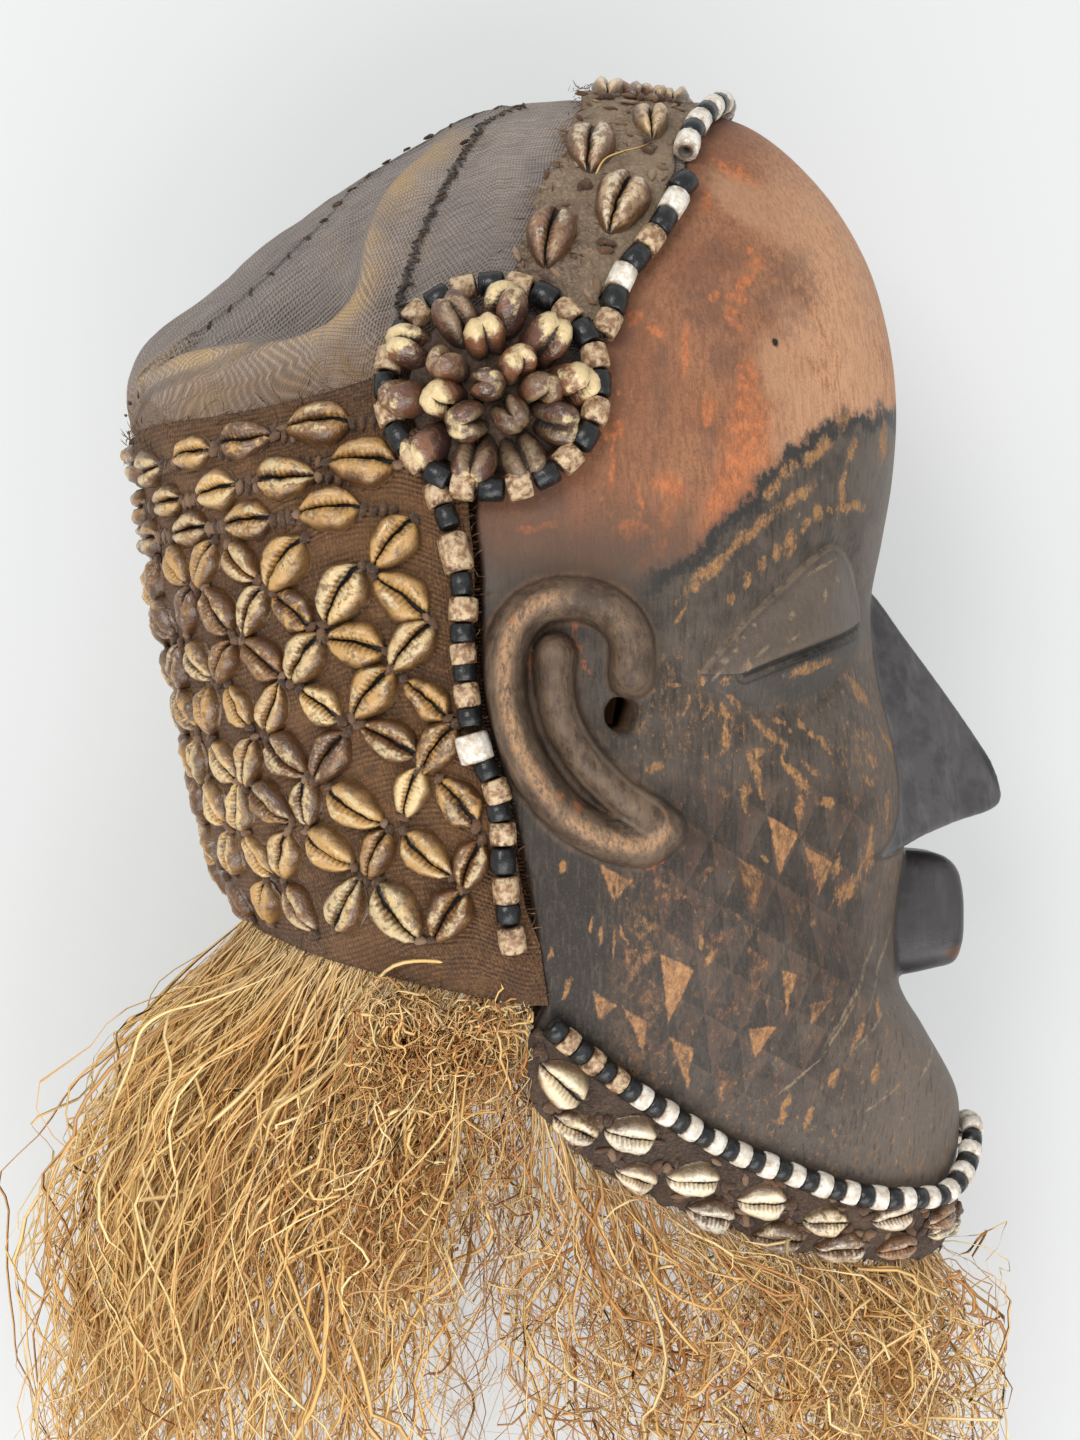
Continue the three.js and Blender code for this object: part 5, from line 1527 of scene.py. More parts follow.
paleLines = [
    (856, 992, 130, 5, 58), (880, 960, 90, 4, 62), (838, 1030, 60, 4, 56), (870, 1030, 50, 4, 50),
    (800, 1075, 60, 3, 40), (880, 1100, 50, 3, 30), (930, 1060, 50, 4, 50), (821, 568, 40, 4, 34),
    (821, 598, 16, 5, 80), (834, 580, 10, 4, -50), (753, 625, 5, 5, 0), (743, 637, 5, 4, 0),
    (733, 651, 6, 4, 30), (724, 660, 10, 8, 0), (746, 665, 14, 5, 84), (789, 616, 12, 7, 60),
    (760, 652, 20, 4, 40), (716, 676, 16, 4, 50), (798, 516, 7, 4, 80), (790, 640, 14, 3, 30),
]
orangeSpots = [
    (746, 400, 60, 17, 86), (744, 450, 84, 32, 80), (722, 500, 56, 20, 56), (709, 409, 24, 9, 84),
    (669, 487, 22, 18, -30), (668, 512, 26, 9, 84), (661, 549, 14, 9, 70), (631, 530, 24, 10, 0),
    (643, 567, 16, 9, 60), (654, 331, 12, 9, 0), (634, 320, 16, 9, 60), (619, 433, 16, 9, 70),
    (602, 422, 30, 6, -70), (612, 470, 34, 4, 88), (640, 500, 30, 4, 86), (756, 265, 16, 11, 60),
    (744, 284, 24, 8, 50), (735, 298, 14, 10, 0), (750, 250, 7, 6, 0), (716, 297, 7, 6, 0),
    (730, 311, 8, 6, 0), (733, 323, 14, 6, -40), (540, 527, 30, 5, 6), (602, 582, 40, 6, -24),
    (525, 585, 40, 6, 18), (735, 172, 40, 14, -30), (705, 200, 26, 8, 80), (685, 350, 40, 6, 86),
    (577, 648, 9, 8, 0), (575, 628, 14, 4, 70), (530, 665, 24, 3, 88), (585, 664, 14, 4, -60),
    (513, 622, 8, 3, 60), (579, 806, 12, 5, -70), (560, 795, 8, 4, -50), (637, 632, 8, 3, 60),
    (664, 812, 10, 3, -40), (655, 864, 16, 3, 20),
]
smudges = [
    (725, 256, 50, 30, 0), (702, 300, 80, 40, 84), (728, 345, 70, 40, -70), (784, 289, 76, 60, 60),
    (760, 300, 60, 40, 0), (706, 442, 40, 20, 80), (690, 495, 50, 22, 76), (520, 545, 90, 60, 0),
    (580, 560, 90, 40, 0), (540, 500, 60, 40, 0), (620, 350, 70, 18, 74), (660, 400, 90, 16, 84),
]
tanSpots = [
    (830, 250, 130, 60, -60), (790, 380, 70, 36, -50), (850, 340, 130, 40, -75), (760, 210, 90, 34, -35),
    (800, 420, 60, 34, 40), (800, 330, 50, 24, -60),
]
cheekNet = ((0.0614, -0.0342, 0.05), (-0.0313, -0.0488, 0.842))  # two slants of the painted net: x, y and start
# Triangles on the cheek: three corners, and how worn to bare wood each is
triangles = [
    (767, 816, 797, 833, 779, 874, 0.95), (802, 842, 831, 862, 818, 895, 0.7),
    (737, 854, 766, 875, 750, 919, 0.55), (598, 864, 635, 880, 614, 902, 0.7),
    (660, 953, 695, 970, 668, 1024, 0.95), (623, 1006, 648, 1021, 643, 1055, 0.7),
    (669, 1036, 695, 1049, 687, 1089, 0.7), (747, 1027, 776, 1027, 754, 1057, 0.85),
    (745, 945, 771, 961, 753, 998, 0.4), (703, 990, 753, 1008, 719, 1024, 0.28),
    (783, 970, 796, 974, 785, 1016, 0.85), (808, 1003, 831, 998, 810, 1029, 0.6),
    (693, 877, 729, 846, 700, 889, 0.34), (700, 935, 742, 925, 713, 966, 0.3),
    (625, 945, 658, 951, 625, 990, 0.45), (782, 896, 805, 906, 795, 925, 0.3),
    (593, 987, 619, 1006, 598, 1021, 0.72), (713, 1060, 737, 1081, 720, 1100, 0.35),
    (651, 874, 693, 898, 653, 901, 0.42), (826, 925, 848, 936, 838, 965, 0.25),
]


# Square of the distance from long thin spots, 1 at the edge of the nearest. The plane is given
# as its squares (xx, xy, yy) and its sides (x, y, 1), so that each spot is two dot products.
def spotShare(f, squares, sides, spots, widen):
    best = None
    centres = seenAt([s[:2] for s in spots])[:, :2]
    for (x, y), (_, _, long, wide, slant) in zip(centres, spots):
        c, s = math.cos(math.radians(slant)), math.sin(math.radians(slant))
        p, q = (2 / (pixelSize * widen * size) for size in (long, wide))
        xx, xy, yy = (p * c) ** 2 + (q * s) ** 2, 2 * c * s * (p * p - q * q), (p * s) ** 2 + (q * c) ** 2
        straight = (-2 * xx * x - xy * y, -2 * yy * y - xy * x, xx * x * x + xy * x * y + yy * y * y)
        far = f.dot(squares, (xx, xy, yy)) + f.dot(sides, straight)
        best = far if best is None else best.least(far)
    return best


# Greatest of the strengths of the triangles that a place is in
def triangleShare(f, sides, soft):
    best = None
    for *corners, strength in triangles:
        c = seenAt([corners[0:2], corners[2:4], corners[4:6]])[:, :2]
        if np.cross(c[1] - c[0], c[2] - c[0]) < 0:
            c = c[::-1]
        inside = None
        for a, b in zip(c, np.roll(c, -1, 0)):
            nx, ny = unit(np.array((a[1] - b[1], b[0] - a[0])))
            far = f.dot(sides, (nx, ny, -nx * a[0] - ny * a[1]))
            inside = far if inside is None else inside.least(far)
        share = inside.between(-soft, soft) * strength
        best = share if best is None else best.most(share)
    return best


def paintedWood():
    f = Finish("face_paint")
    moved = f.vectors("MULTIPLY_ADD", f.place(), (1000,) * 3, tuple(-headAt))
    x, y, _ = f.parts(moved)
    # grain runs up and down; paint edges follow it
    upright = f.stretched(moved, 1.0, 0.13, 1.0)
    grain = f.noise(upright, 1.5, 4, 0.65)
    broad = f.noise(upright, 6.0, 3, 0.6)
    fine = f.noise(moved, 1.1, 3, 0.7)
    patch = f.noise(moved, 13.0, 4, 0.6)
    wide = f.noise(moved, 38.0, 3, 0.55)
    flecks = f.noise(f.stretched(moved, 1.0, 0.5, 1.0), 1.9, 5, 0.78)
    worn = f.noise(f.stretched(moved, 1.0, 0.42, 1.0), 3.2, 4, 0.72)
    paint, lid, slit = f.parts(f.mark("paint", "Vector"))
    nose, mouth, edge = f.parts(f.mark("form", "Vector"))
    rim, ridge, _ = f.parts(f.mark("ear", "Vector"))
    back = f.mark("back")
    # places pushed about a little, so that strokes and triangles look brushed by hand
    bendX, bendY = patch - 0.5, f.noise(moved, 8.0, 3, 0.6) - 0.5
    brushed = f.plane(x + bendX * 7.5, y + bendY * 7.5)
    scored = f.plane(x + bendX * 3.0, y + bendY * 3.0)

    # bare orange-brown forehead
    bare = f.mix(wide.between(0.36, 0.62), tone(0.565, 0.375, 0.265), tone(0.62, 0.43, 0.31))
    # painted light: the forehead lighter toward its front
    bare = bare.painted(x.between(66, 112) * 0.75, 0.86, 0.64, 0.475)
    bare = bare.painted(x.between(62, 18) * 0.5, 0.45, 0.295, 0.205)
    bare = bare.painted(grain.between(0.42, 0.62) * 0.5, 0.44, 0.285, 0.20)
    bare = bare.painted(flecks.between(0.52, 0.74) * 0.4, 0.72, 0.50, 0.36)
    bare = bare.painted(fine.between(0.50, 0.68) * 0.5, 0.40, 0.265, 0.19)
    tan = spotShare(f, *brushed, tanSpots, 1.15)
    tanShare = (tan.between(4.0, 0.0) + (patch - 0.5) * 1.5 + (flecks - 0.5) * 1.5).between(0.2, 1.2)
    bare = bare.painted(tanShare * 0.5, 0.77, 0.60, 0.47)
    smudge = spotShare(f, *brushed, smudges, 1.1)
    smoke = (smudge.between(3.2, 0.0) * 0.7 + (patch - 0.5) * 2.0 + (flecks - 0.5) * 2.2).between(0.2, 1.1)
    bare = bare.painted(smoke * 0.62, 0.39, 0.285, 0.235)
    flame = spotShare(f, *brushed, orangeSpots, 1.25)
    flameShare = flame.between(3.0, 0.0) * 0.85 + (flecks - 0.5) * 2.4 + (fine - 0.5) * 1.2
    flameShare = flameShare.between(0.15, 1.2) * flame.between(3.6, 1.2)
    speck = flecks.between(0.58, 0.72) * patch.between(0.44, 0.62)
    orange = f.mix(flecks.between(0.4, 0.6), tone(0.65, 0.375, 0.235), tone(0.80, 0.475, 0.285))
    rearward = x.between(85, 20)
    bare = f.mix((flameShare * 0.72).most(speck * 0.85 * rearward), bare, orange)
    # darker along the bead string and down towards the ear
    bare = bare.painted(edge.between(16, 0) * 0.5, 0.36, 0.23, 0.165)
    low = (y + broad * 26).between(98, 66) * x.between(66, 44)
    bare = bare.painted(low * 0.75, 0.35, 0.285, 0.24)

    # dark paint with bare wood showing where it has worn
    night = f.mix(patch.between(0.35, 0.65), tone(0.25, 0.22, 0.195), tone(0.345, 0.305, 0.27))
    night = night.painted(x.between(80, 15) * (y.between(0, -60) * 0.8 + 0.1), 0.165, 0.14, 0.12)
    night = night.painted(y.between(-110, -160) * 0.6, 0.345, 0.31, 0.285)
    night = night.painted(x.between(104, 136) * 0.7, 0.45, 0.40, 0.36)
    fibres = (grain.between(0.48, 0.68) * 0.4).most(fine.between(0.52, 0.70) * 0.4)
    night = night.painted(fibres, 0.39, 0.33, 0.28)
    night = night.painted(grain.between(0.48, 0.34) * 0.45, 0.145, 0.13, 0.12)
    ochre = f.mix(broad.between(0.4, 0.6), tone(0.64, 0.45, 0.265), tone(0.56, 0.38, 0.235))
    ochre = ochre.painted(fine.between(0.35, 0.7), 0.74, 0.56, 0.36)
    cheek = x.between(18, 40) * y.between(38, 22) * y.between(-196, -172)
    lower = cheek * y.between(-14, -32)
    nearFront = x.between(94, 122) * y.between(-80, -40) * y.between(10, -8)
    nearEar = x.between(60, 30) * y.between(-30, -50)
    wearShare = flecks * 0.65 + worn * 0.5 + nearFront * 0.05 + nearEar * 0.06 + wide * 0.18
    night = f.mix(wearShare.between(0.68, 0.88) * cheek * 0.6, night, ochre)
    night = night.painted(flecks.between(0.60, 0.70) * fine.between(0.45, 0.6) * cheek * 0.6, 0.72, 0.54, 0.33)
    # the painted net of triangles under the wear
    slantA, slantB = f.dot(scored[1], cheekNet[0]), f.dot(scored[1], cheekNet[1])
    netArea = lower * (x - y * 0.25).between(146, 122) * y.between(-148, -120)
    netArea = netArea * (0.4 + worn.between(0.35, 0.6) * 0.6)
    net = (slantB.part() > slantA.part()) * netArea
    night = night.painted((1 - net) * netArea * (broad + 0.1).between(0.42, 0.7) * 0.5, 0.345, 0.24, 0.19)
    night = night.painted(net * 0.6, 0.15, 0.135, 0.125)
    lineA, lineB = ((slant.part() - 0.5).away().between(0.46, 0.49) for slant in (slantA, slantB))
    netLine = lineA.most(lineB)
    night = night.painted(netLine * flecks.between(0.45, 0.6) * netArea * 0.3, 0.42, 0.33, 0.25)
    tri = triangleShare(f, scored[1], 0.8)
    rust = f.mix(tri.between(0.3, 0.75), tone(0.36, 0.245, 0.195), tone(0.61, 0.43, 0.275))
    rust = rust.painted(flecks.between(0.42, 0.68) * tri, 0.76, 0.57, 0.37)
    triShare = (tri * 0.55 + (flecks - 0.5) * 2.0 + (worn - 0.5) * 1.5 + 0.2).between(0.05, 0.8)
    triShare = triShare * tri.between(0.03, 0.25)
    night = f.mix(triShare * 0.82, night, rust)
    stroke = spotShare(f, *brushed, ochreSpots, 1.0)
    strokeShare = stroke.between(2.4, 0.0) * 0.75 + (flecks - 0.5) * 2.6 + (worn - 0.5) * 1.4
    strokeShare = strokeShare.between(0.14, 1.0) * stroke.between(3.4, 1.6)
    night = f.mix(strokeShare * (0.55 + broad * 0.45), night, ochre)

    # border between the two: dabs of dark paint in front, faded above the ear
    ragged = (patch - 0.5) * 12.0 + (flecks - 0.5) * 12.0 + bendX * 5.0
    faded = x.between(42, 30)
    reach = paint + ragged
    dark = reach.between(-3.0, 2.4) * (1 - faded) + (reach + 6).between(-6, 16) * faded
    band = reach.between(-0.5, 1.5) * reach.between(7.5, 4.5) * (1 - faded)
    night = night.painted(band * (1 - strokeShare) * 0.85, 0.175, 0.17, 0.165)
    skin = f.mix(dark, bare, night)

    # eyelids: grey-brown and rubbed above a thin slit, smooth and greyer below it
    lidShade = f.mix(grain, tone(0.345, 0.305, 0.27), tone(0.46, 0.40, 0.35))
    lidShade = lidShade.painted(lid.between(-3.5, -0.8) * 0.6, 0.27, 0.235, 0.215)
    skin = f.mix(lid.between(1.5, -6.0) * slit.between(-0.5, 1.0) * 0.7, skin, lidShade)
    under = lid.between(0.5, -1.5) * slit.between(0.2, -1.0)
    skin = skin.painted(under * (1 - strokeShare * slit.between(-1.5, -3.0)) * 0.7, 0.255, 0.24, 0.225)
    # pale dust and a painted highlight along the lid's upper crease
    creaseDustAndHighlight = (1 - (lid + 0.2).away().between(0.5, 1.7)) * slit.between(4, 9) * (worn + 0.35).between(0.6, 0.95)
    skin = skin.painted(creaseDustAndHighlight * 0.7, 0.50, 0.43, 0.36)
    # painted shade: dark in the slit and in the fold just below it
    skin = skin.painted(slit.away().between(1.3, 0.5) * lid.between(0.5, -0.5) * 0.9, 0.12, 0.11, 0.10)
    skin = skin.painted((slit + 3.1).away().between(0.7, 0.2) * lid.between(-1.0, -2.5) * 0.7, 0.16, 0.15, 0.14)
    line = spotShare(f, *scored, paleLines, 1.0)
    skin = skin.painted(line.between(1.5, 0.05) * flecks.between(0.35, 0.6) * dark * 0.55, 0.66, 0.57, 0.46)

    # ear: rubbed grey-brown with tan along its rolls, orange left in the hollows, and painted shade at the foot of the
    # rolls
    earArea = rim.least(ridge).between(10.5, 7.5)
    earTone = f.mix(patch.between(0.38, 0.62), tone(0.30, 0.245, 0.20), tone(0.42, 0.345, 0.28))
    earTone = earTone.painted(broad.between(0.48, 0.68) * 0.55, 0.51, 0.42, 0.335)
    earTone = earTone.painted(worn.between(0.50, 0.62) * 0.55, 0.225, 0.175, 0.145)
    earTone = earTone.painted((flecks * 0.8 + wide * 0.4).between(0.62, 0.80) * 0.5, 0.57, 0.45, 0.34)
    crest = rim.between(4.2, 0.5) * (x.between(12, 2).most(y.between(-26, -36)))
    earTone = earTone.painted(crest * (flecks + 0.1).between(0.45, 0.7) * 0.75, 0.74, 0.57, 0.41)
    sharp = (ridge - 5.2).away().between(1.1, 0.2) * (x - ridge * 0.2).between(8, 14)
    earTone = earTone.painted(sharp * 0.4, 0.60, 0.53, 0.45)
    outerLine = (rim - 8.2).away().between(1.1, 0.2) * y.between(26, 34)
    skin = skin.painted(outerLine * (flecks + 0.2).between(0.45, 0.8) * 0.6, 0.62, 0.42, 0.29)
    skin = f.mix(earArea * 0.93, skin, earTone)
    skin = skin.painted(flameShare * y.between(45, 38) * flecks.between(0.45, 0.6) * 0.7, 0.68, 0.38, 0.21)
    # painted shade in the grooves at the foot of the ear's rolls
    hollow = (rim.least(ridge) - 7.6).away().between(1.8, 0.2) * earArea
    skin = skin.painted(hollow * 0.32, 0.14, 0.11, 0.10)

    # nose and mouth: near black with a dull shine, brown where the mouth's corner is chipped
    black = f.mix(patch.between(0.4, 0.6), tone(0.265, 0.255, 0.26), tone(0.325, 0.31, 0.315))
    black = black.painted(broad.between(0.5, 0.7) * 0.4, 0.43, 0.41, 0.41)
    # darker over the mouth, and painted shade along the nose's front edge
    black = black.painted((mouth.between(1.2, 0.4) * 0.45).most(back.between(2.2, 0.6) * 0.8), 0.13, 0.12, 0.12)
    noseArea, mouthArea = nose.between(1.1, 0.4), mouth.between(1.2, 0.4)
    jet = noseArea.most(mouthArea)
    chip = (((x - 158) * 0.5).away() + (y + 88).away()).between(4.5, 2.0)
    black = black.painted(chip * mouthArea * 0.6, 0.40, 0.27, 0.18)
    skin = f.mix(jet, skin, black)
    # dirt in the joints, and painted shadow along the cut rim where cloth and beads meet the wood
    joint = nose.least(mouth).between(0.6, 1.2) * nose.least(mouth).between(3.0, 1.2)
    skin = skin.painted(joint * 0.5, 0.09, 0.08, 0.075)
    # painted shadow along the cut rim
    skin = skin.painted(edge.between(2.2, 0.4) * 0.8, 0.15, 0.10, 0.08)
    chipHole = f.vectors("DISTANCE", moved, tuple(seenAt([(775, 342)])[0]), out="Value")
    skin = skin.painted((chipHole + flecks * 3.0).between(3.4, 2.3), 0.12, 0.10, 0.09)
    # inside of the mask
    skin = f.mix(f.mark("inside"), skin, f.mix(grain, tone(0.42, 0.30, 0.20), tone(0.33, 0.23, 0.16)))

    rough = 0.60 - dark * 0.10 - jet * 0.19 + flameShare * 0.1 + (fine - 0.5) * 0.16 + strokeShare * dark * 0.15
    height = grain * 0.32 + fine * 0.26 + broad * 0.2
    return f.done(skin, rough, f.bump(height * (1 - jet * 0.6), 0.0011), Specular_IOR_Level=0.32)


# Finishes of the shells, beads, cloths, threads and raffia

def shellFinish(name, light, deep, dusk, duskShare, pale, standing=False):
    f = Finish(name)
    place = f.place()
    s, u, depth = f.parts(f.mark("shell", "Vector"))
    one, two, three = f.parts(f.mark("shade", "Vector"))
    mottle = f.noise(place, 0.0062, 4, 0.7)
    fine = f.noise(place, 0.0011, 3, 0.65)
    half = u.away()
    body = f.mix((mottle + (one - 0.5) * 0.5).between(0.34, 0.66), tone(*light), tone(*deep))
    dull = (mottle * 1.7 + two * 0.6).between(1.43 - duskShare * 0.5, 1.63 - duskShare * 0.5)
    body = body.painted(dull * 0.85, *dusk)
    # pale where the gloss has rubbed through along the top of each lip
    crest = half.between(0.08, 0.3) * half.between(0.85, 0.5)
    rubbed = (mottle * 1.3 + fine * 0.4 + (three - 0.5) * 0.4 + crest * 0.22).between(0.94, 1.2)
    body = body.painted(rubbed * (0.2 if standing else 0.6), *pale)
    blots = f.noise(place, 0.0024, 3, 0.6).between(0.50, 0.62) * (mottle + two * 0.4).between(0.45, 0.75)
    body = body.painted(blots * 0.7, 0.37, 0.245, 0.14)
    comb = (s * 36.0 + u * 2.5 + mottle * 3.0).wave()
    if standing:
        # whole shells standing on end: painted shade at the foot, where they crowd together, and worn pale at some tips
        foot = (s + mottle * 0.6).between(0.9, -0.25)
        body = body.painted(foot * 0.92, 0.15, 0.105, 0.09)
        tip = (s * 0.9 + mottle * 1.9 - three * 0.7).between(1.2, 1.6)
        body = body.painted(tip * 0.85, *pale)
        teeth = comb.between(0.2, 1.0) * depth.between(0.1, 0.4) * 0.4
    else:
        # darker brown toward the outer edge: dirt, and painted shade where the shell curves down to the cloth
        edge = (half + mottle * 0.35).between(0.72, 1.15)
        body = body.painted(edge * 0.8, 0.30, 0.195, 0.115)
        ends = (s.away() + mottle * 0.4).between(0.98, 1.2)
        body = body.painted(ends * 0.6, 0.27, 0.18, 0.11)
        teeth = comb.between(0.0, 0.9) * half.between(0.40, 0.08)
    # painted shade in the grooves between the teeth
    body = body.painted(teeth * (0.24 + two * 0.4), 0.32, 0.205, 0.12)
    # painted shade and dirt in the slit
    slit = (depth + comb * 0.06 + fine * 0.12).between(0.62, 1.0)
    body = body.painted(slit, 0.075, 0.05, 0.035)
    dirt = fine.between(0.60, 0.74) * mottle.between(0.40, 0.6)
    body = body.painted(dirt * 0.5, 0.24, 0.16, 0.10)
    rough = 0.20 + mottle * 0.18 + slit * 0.4 + dirt * 0.2
    height = mottle * 1.0 + fine * 0.2 - teeth * 0.3
    return f.done(body, rough, f.bump(height, 0.0011), Specular_IOR_Level=0.6, Coat_Weight=0.3, Coat_Roughness=0.1)


def beadGlass():
    f = Finish("glass_beads")
    place = f.place()
    x, r, _ = f.parts(f.mark("bead", "Vector"))
    kind = f.mark("kind")
    mottle = f.noise(place, 0.0028, 3, 0.65)
    fine = f.noise(place, 0.0009, 3, 0.6)
    black = f.mix(mottle.between(0.5, 0.7), tone(0.085, 0.088, 0.095), tone(0.19, 0.185, 0.18))
    white = f.mix(mottle.between(0.35, 0.6), tone(0.94, 0.92, 0.88), tone(0.82, 0.77, 0.70))
    stain = f.mix(mottle.between(0.35, 0.62), tone(0.80, 0.70, 0.56), tone(0.56, 0.42, 0.30))
    grime = (mottle + fine * 0.4 + x.away() * 0.55).between(0.86, 1.08)
    stain = stain.painted(grime, 0.36, 0.25, 0.17)
    white = white.painted(grime * 0.55, 0.62, 0.50, 0.38)
    colour = f.mix(kind > 0.75, f.mix(kind > 0.25, black, stain), white)
    hole = r.between(0.72, 0.55)
    colour = colour.painted(hole * 0.85, 0.16, 0.115, 0.085)
    ends = x.away().between(0.44, 0.5) * (kind > 0.25)
    colour = colour.painted(ends * 0.5, 0.42, 0.31, 0.22)
    rough = 0.20 + mottle * 0.14 + (kind > 0.25) * 0.16 + hole * 0.4
    return f.done(colour, rough, f.bump(mottle * 0.5 + fine * 0.25, 0.0005), Specular_IOR_Level=0.5)


def crownWeave():
    f = Finish("crown_weave")
    weave = f.mark("weave", "Vector")
    u, v, inner = f.parts(weave)
    seam, worn, panel, overHem = f.mark("seam"), f.mark("worn"), f.mark("panel"), f.mark("hem")
    place = f.place()
    wobble = f.noise(place, 0.02, 2) * 0.6
    warp = ((u + wobble) * 4.3).wave()
    weft = ((v + wobble) * 5.6).wave()
    threads = f.noise(f.stretched(weave, 1.5, 0.08, 1.0), 1.0, 3, 0.7)
    across = f.noise(f.stretched(weave, 0.08, 1.5, 1.0), 1.0, 3, 0.7)
    patch = f.noise(place, 0.022, 4, 0.6)
    broad = f.noise(place, 0.06, 3, 0.6)
    colour = f.mix(broad.between(0.35, 0.65), tone(0.60, 0.545, 0.52), tone(0.69, 0.63, 0.59))
    colour = colour.painted(panel * 0.55, 0.64, 0.595, 0.57)
    colour = colour.painted(threads.between(0.40, 0.66) * 0.6, 0.335, 0.295, 0.275)
    colour = colour.painted(across.between(0.46, 0.68) * 0.4, 0.62, 0.555, 0.49)
    colour = colour.painted((warp * 0.5 + weft * 0.5).between(0.2, 0.95) * 0.36, 0.28, 0.24, 0.225)
    # dust and wear catch on the thread tops of the fold, with a painted highlight along it, and above the hem
    tops = (threads * 0.5 + across * 0.5 + patch * 0.5).between(0.62, 0.86)
    colour = colour.painted(worn * (0.12 + tops * 0.8 + (patch - 0.5) * 0.8), 0.77, 0.635, 0.45)
    hem = overHem.between(26, 8) * (0.4 + tops * 0.6) * (1 - worn)
    colour = colour.painted(hem * (1 - panel * 0.6) * 0.85, 0.55, 0.42, 0.285)
    loose = patch.between(0.55, 0.72) * tops
    colour = colour.painted(loose * 0.4, 0.66, 0.56, 0.43)
    colour = colour.painted(seam.between(2.6, 0.5) * 0.7, 0.17, 0.14, 0.13)
    colour = colour.painted(inner * 0.5, 0.25, 0.20, 0.17)
    height = warp * 0.5 + weft * 0.35 + threads * 0.6 + across * 0.5 + patch * 0.5
    return f.done(colour, 0.88 + threads * 0.1, f.bump(height, 0.0006), Sheen_Weight=0.12, Sheen_Roughness=0.5)


def coarseCloth(name, light, deep, dust, pitch, deepBump, woven, ribbed=0.0):
    f = Finish(name)
    u, v, _ = f.parts(f.mark("weave", "Vector"))
    place = f.place()
    wobble = f.noise(place, 0.009, 3) * 3.0
    warp = ((u + wobble) * (2 * math.pi / pitch)).wave()
    weft = ((v + wobble) * (2 * math.pi / pitch / 1.2)).wave()
    fuzz = f.noise(place, 0.0013, 4, 0.75)
    patch = f.noise(place, 0.010, 4, 0.65)
    broad = f.noise(place, 0.045, 3, 0.6)
    ribs = (v * 3.4 + wobble).wave()
    thin = [c * 0.6 for c in deep]
    colour = f.mix(broad.between(0.35, 0.65), tone(*light), tone(*deep))
    colour = colour.painted((fuzz + patch * 0.4).between(0.62, 0.85) * 0.6, *dust)
    colour = colour.painted((warp * 0.5 + weft * 0.5).between(0.1, 0.9) * 0.45 * woven, *thin)
    colour = colour.painted(ribs.between(0.2, 1.0) * 0.4 * ribbed, *thin)
    colour = colour.painted(patch.between(0.52, 0.75) * 0.6, *thin)
    height = warp * 0.4 * woven + weft * 0.4 * woven + ribs * 0.4 * ribbed + fuzz * 1.5 + patch * 1.2
    return f.done(colour, 0.93, f.bump(height, deepBump), Sheen_Weight=0.08, Sheen_Roughness=0.5)


def yarnFinish():
    f = Finish("thread_yarn")
    place = f.place()
    shade = f.mark("shade")
    fuzz = f.noise(place, 0.0011, 3, 0.7)
    colour = f.mix(shade, tone(0.42, 0.29, 0.19), tone(0.24, 0.165, 0.12))
    colour = colour.painted(shade.between(0.4, -0.4), 0.60, 0.50, 0.40)
    colour = colour.painted(shade.between(1.0, 1.5), 0.17, 0.145, 0.13)
    colour = colour.painted(fuzz.between(0.5, 0.7) * 0.6, 0.55, 0.41, 0.28)
    return f.done(colour, 0.95, f.bump(fuzz, 0.0006), Sheen_Weight=0.2)


def raffiaFinish():
    f = Finish("raffia_straw")
    one, down, two = f.parts(f.mark("straw", "Vector"))
    place = f.place()
    streak = f.noise(place, 0.02, 3, 0.6)
    fine = f.noise(place, 0.0025, 2, 0.6)
    colour = f.mix(one, tone(0.96, 0.82, 0.56), tone(0.89, 0.69, 0.40))
    # browner strands: some really brown, and painted shade on the far side and in the crumpled clumps
    colour = colour.painted(two.between(0.6, 1.0) * 0.9, 0.72, 0.48, 0.27)
    colour = colour.painted((one * 7.3 + two * 3.1).wave().between(0.5, 1.0) * 0.7, 1.0, 0.91, 0.68)
    colour = colour.painted(streak.between(0.45, 0.7) * 0.35, 0.82, 0.62, 0.36)
    colour = colour.painted(fine.between(0.64, 0.76) * 0.25, 0.62, 0.44, 0.24)
    colour = colour.painted(down.between(0.2, 0.02) * 0.6, 0.93, 0.82, 0.62)
    return f.done(colour, 0.5 + fine * 0.2, None, Specular_IOR_Level=0.4)


def fibreFinish():
    f = Finish("cloth_fibre")
    one, *_ = f.parts(f.mark("straw", "Vector"))
    colour = f.mix(one, tone(0.30, 0.20, 0.13), tone(0.56, 0.42, 0.28))
    return f.done(colour, 0.9)


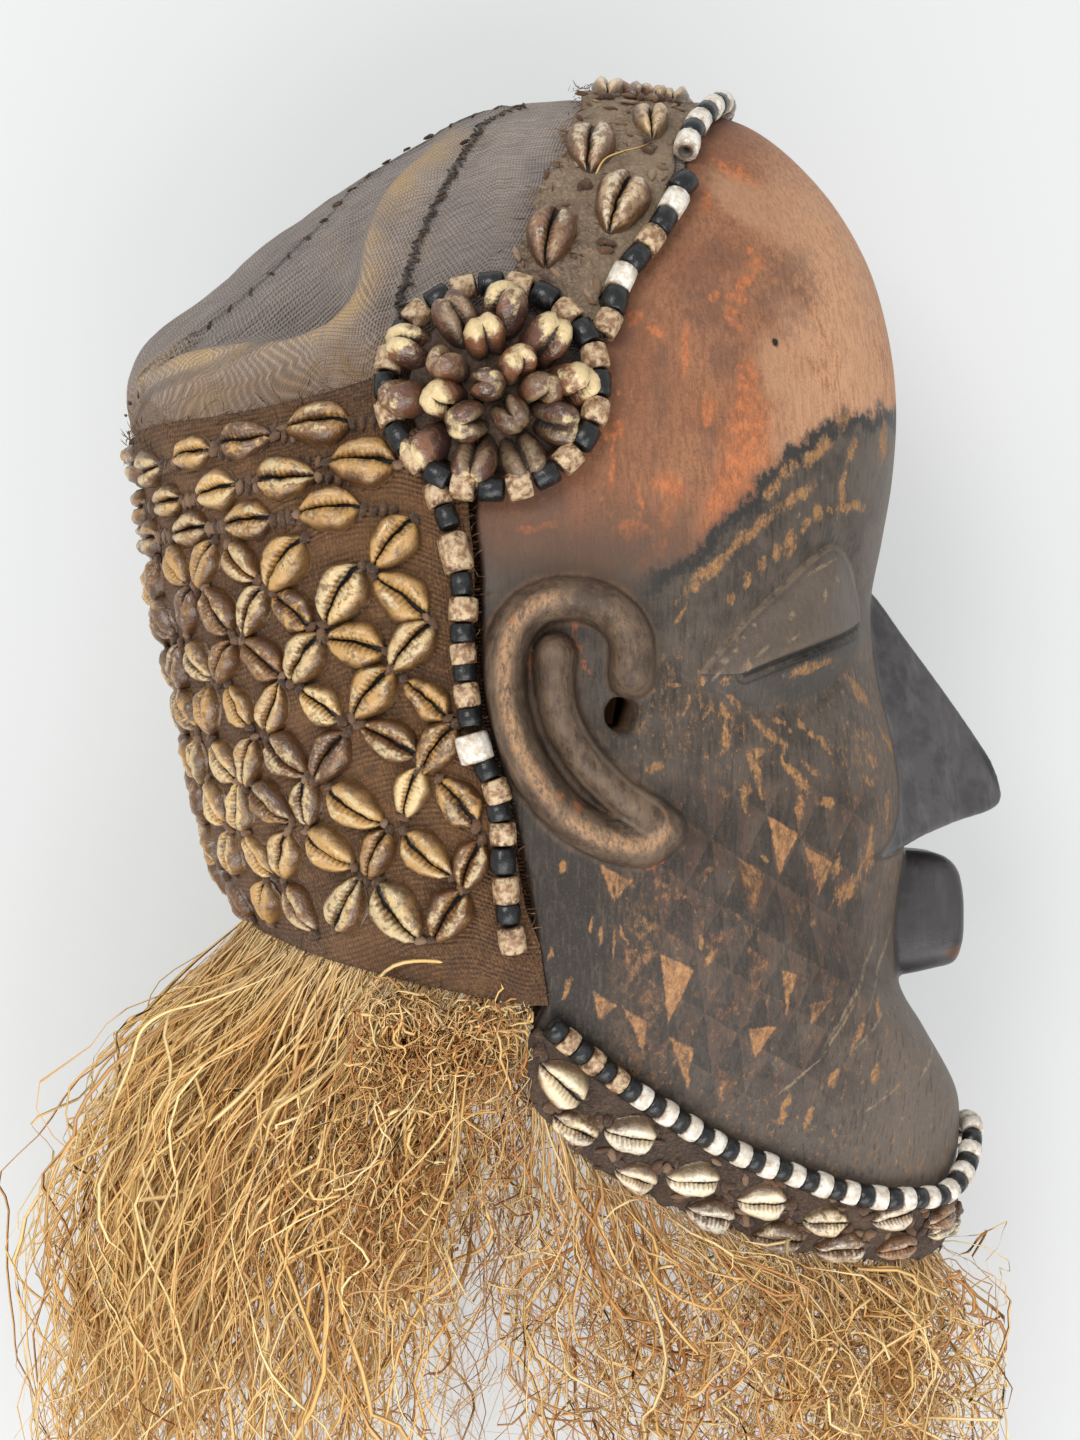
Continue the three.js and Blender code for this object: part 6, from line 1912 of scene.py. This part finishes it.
# Tones of the shells: light, deep, dusk and how much of that, and pale; then of the coarse
# cloths: light, deep and dust, with pitch, bump, weave and ribs
shellTones = {
    "sewn_cowries": ((0.74, 0.575, 0.34), (0.46, 0.305, 0.16), (0.335, 0.23, 0.18), 0.42, (0.93, 0.83, 0.62)),
    "hair_cowries": ((0.79, 0.66, 0.49), (0.54, 0.40, 0.29), (0.38, 0.285, 0.25), 0.34, (0.95, 0.89, 0.76)),
    "chin_cowries": ((0.88, 0.80, 0.65), (0.60, 0.43, 0.28), (0.36, 0.24, 0.17), 0.48, (0.98, 0.95, 0.87)),
    "rosette_cowries": ((0.51, 0.335, 0.23), (0.345, 0.22, 0.175), (0.245, 0.16, 0.15), 0.7, (0.90, 0.80, 0.60), True),
}
clothTones = {
    "hood_cloth_weave": ((0.45, 0.31, 0.185), (0.34, 0.225, 0.13), (0.60, 0.43, 0.26), 1.35, 0.0007, 0.6, 0.8),
    "band_felt": ((0.65, 0.55, 0.45), (0.49, 0.40, 0.325), (0.80, 0.70, 0.57), 2.0, 0.0016, 0.1),
    "chin_felt": ((0.36, 0.27, 0.205), (0.25, 0.18, 0.14), (0.50, 0.39, 0.29), 2.0, 0.0016, 0.1),
}
wood = paintedWood()
shells, hairShells, paleShells, duskShells = (shellFinish(name, *tones) for name, tones in shellTones.items())
glass = beadGlass()
crownCloth = crownWeave()
hoodCloth, bandFelt, chinFelt = (coarseCloth(name, *tones) for name, tones in clothTones.items())
yarn = yarnFinish()
straw = raffiaFinish()
fibre = fibreFinish()
print("mask: finishes mixed")

makeFace(wood)
makeHoodCowries(shells)
makeBandCowries(hairShells, paleShells)
makeBeads(glass)
makeRosettes(duskShells, glass, chinFelt)
crownPiece, hoodPiece = makeCrown(crownCloth), makeHoodBack(hoodCloth)
hairBand, chinBand = makeBands(bandFelt, chinFelt)
makeThreads(yarn)
makeRaffia(straw)
makeFuzz(fibre)

# the four cloths as cut flat, stretched over the mask; area as measured along the cloth
for piece, flat, area, under in (
    (crownPiece, (0.299, 0.357), 0.0645, ["wooden_face"]),
    (hoodPiece, (0.225, 0.408), 0.0708, ["wooden_face"]),
    (hairBand, (0.049, 0.345), 0.0126, ["wooden_face", crownPiece]),
    (chinBand, (0.037, 0.468), 0.0121, ["wooden_face"]),
):
    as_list(under)

counts = {name: sum(len(p.vertices) - 2 for p in piece.data.polygons) for name, piece in pieces.items()}
print("mask: triangles", sum(counts.values()), counts)
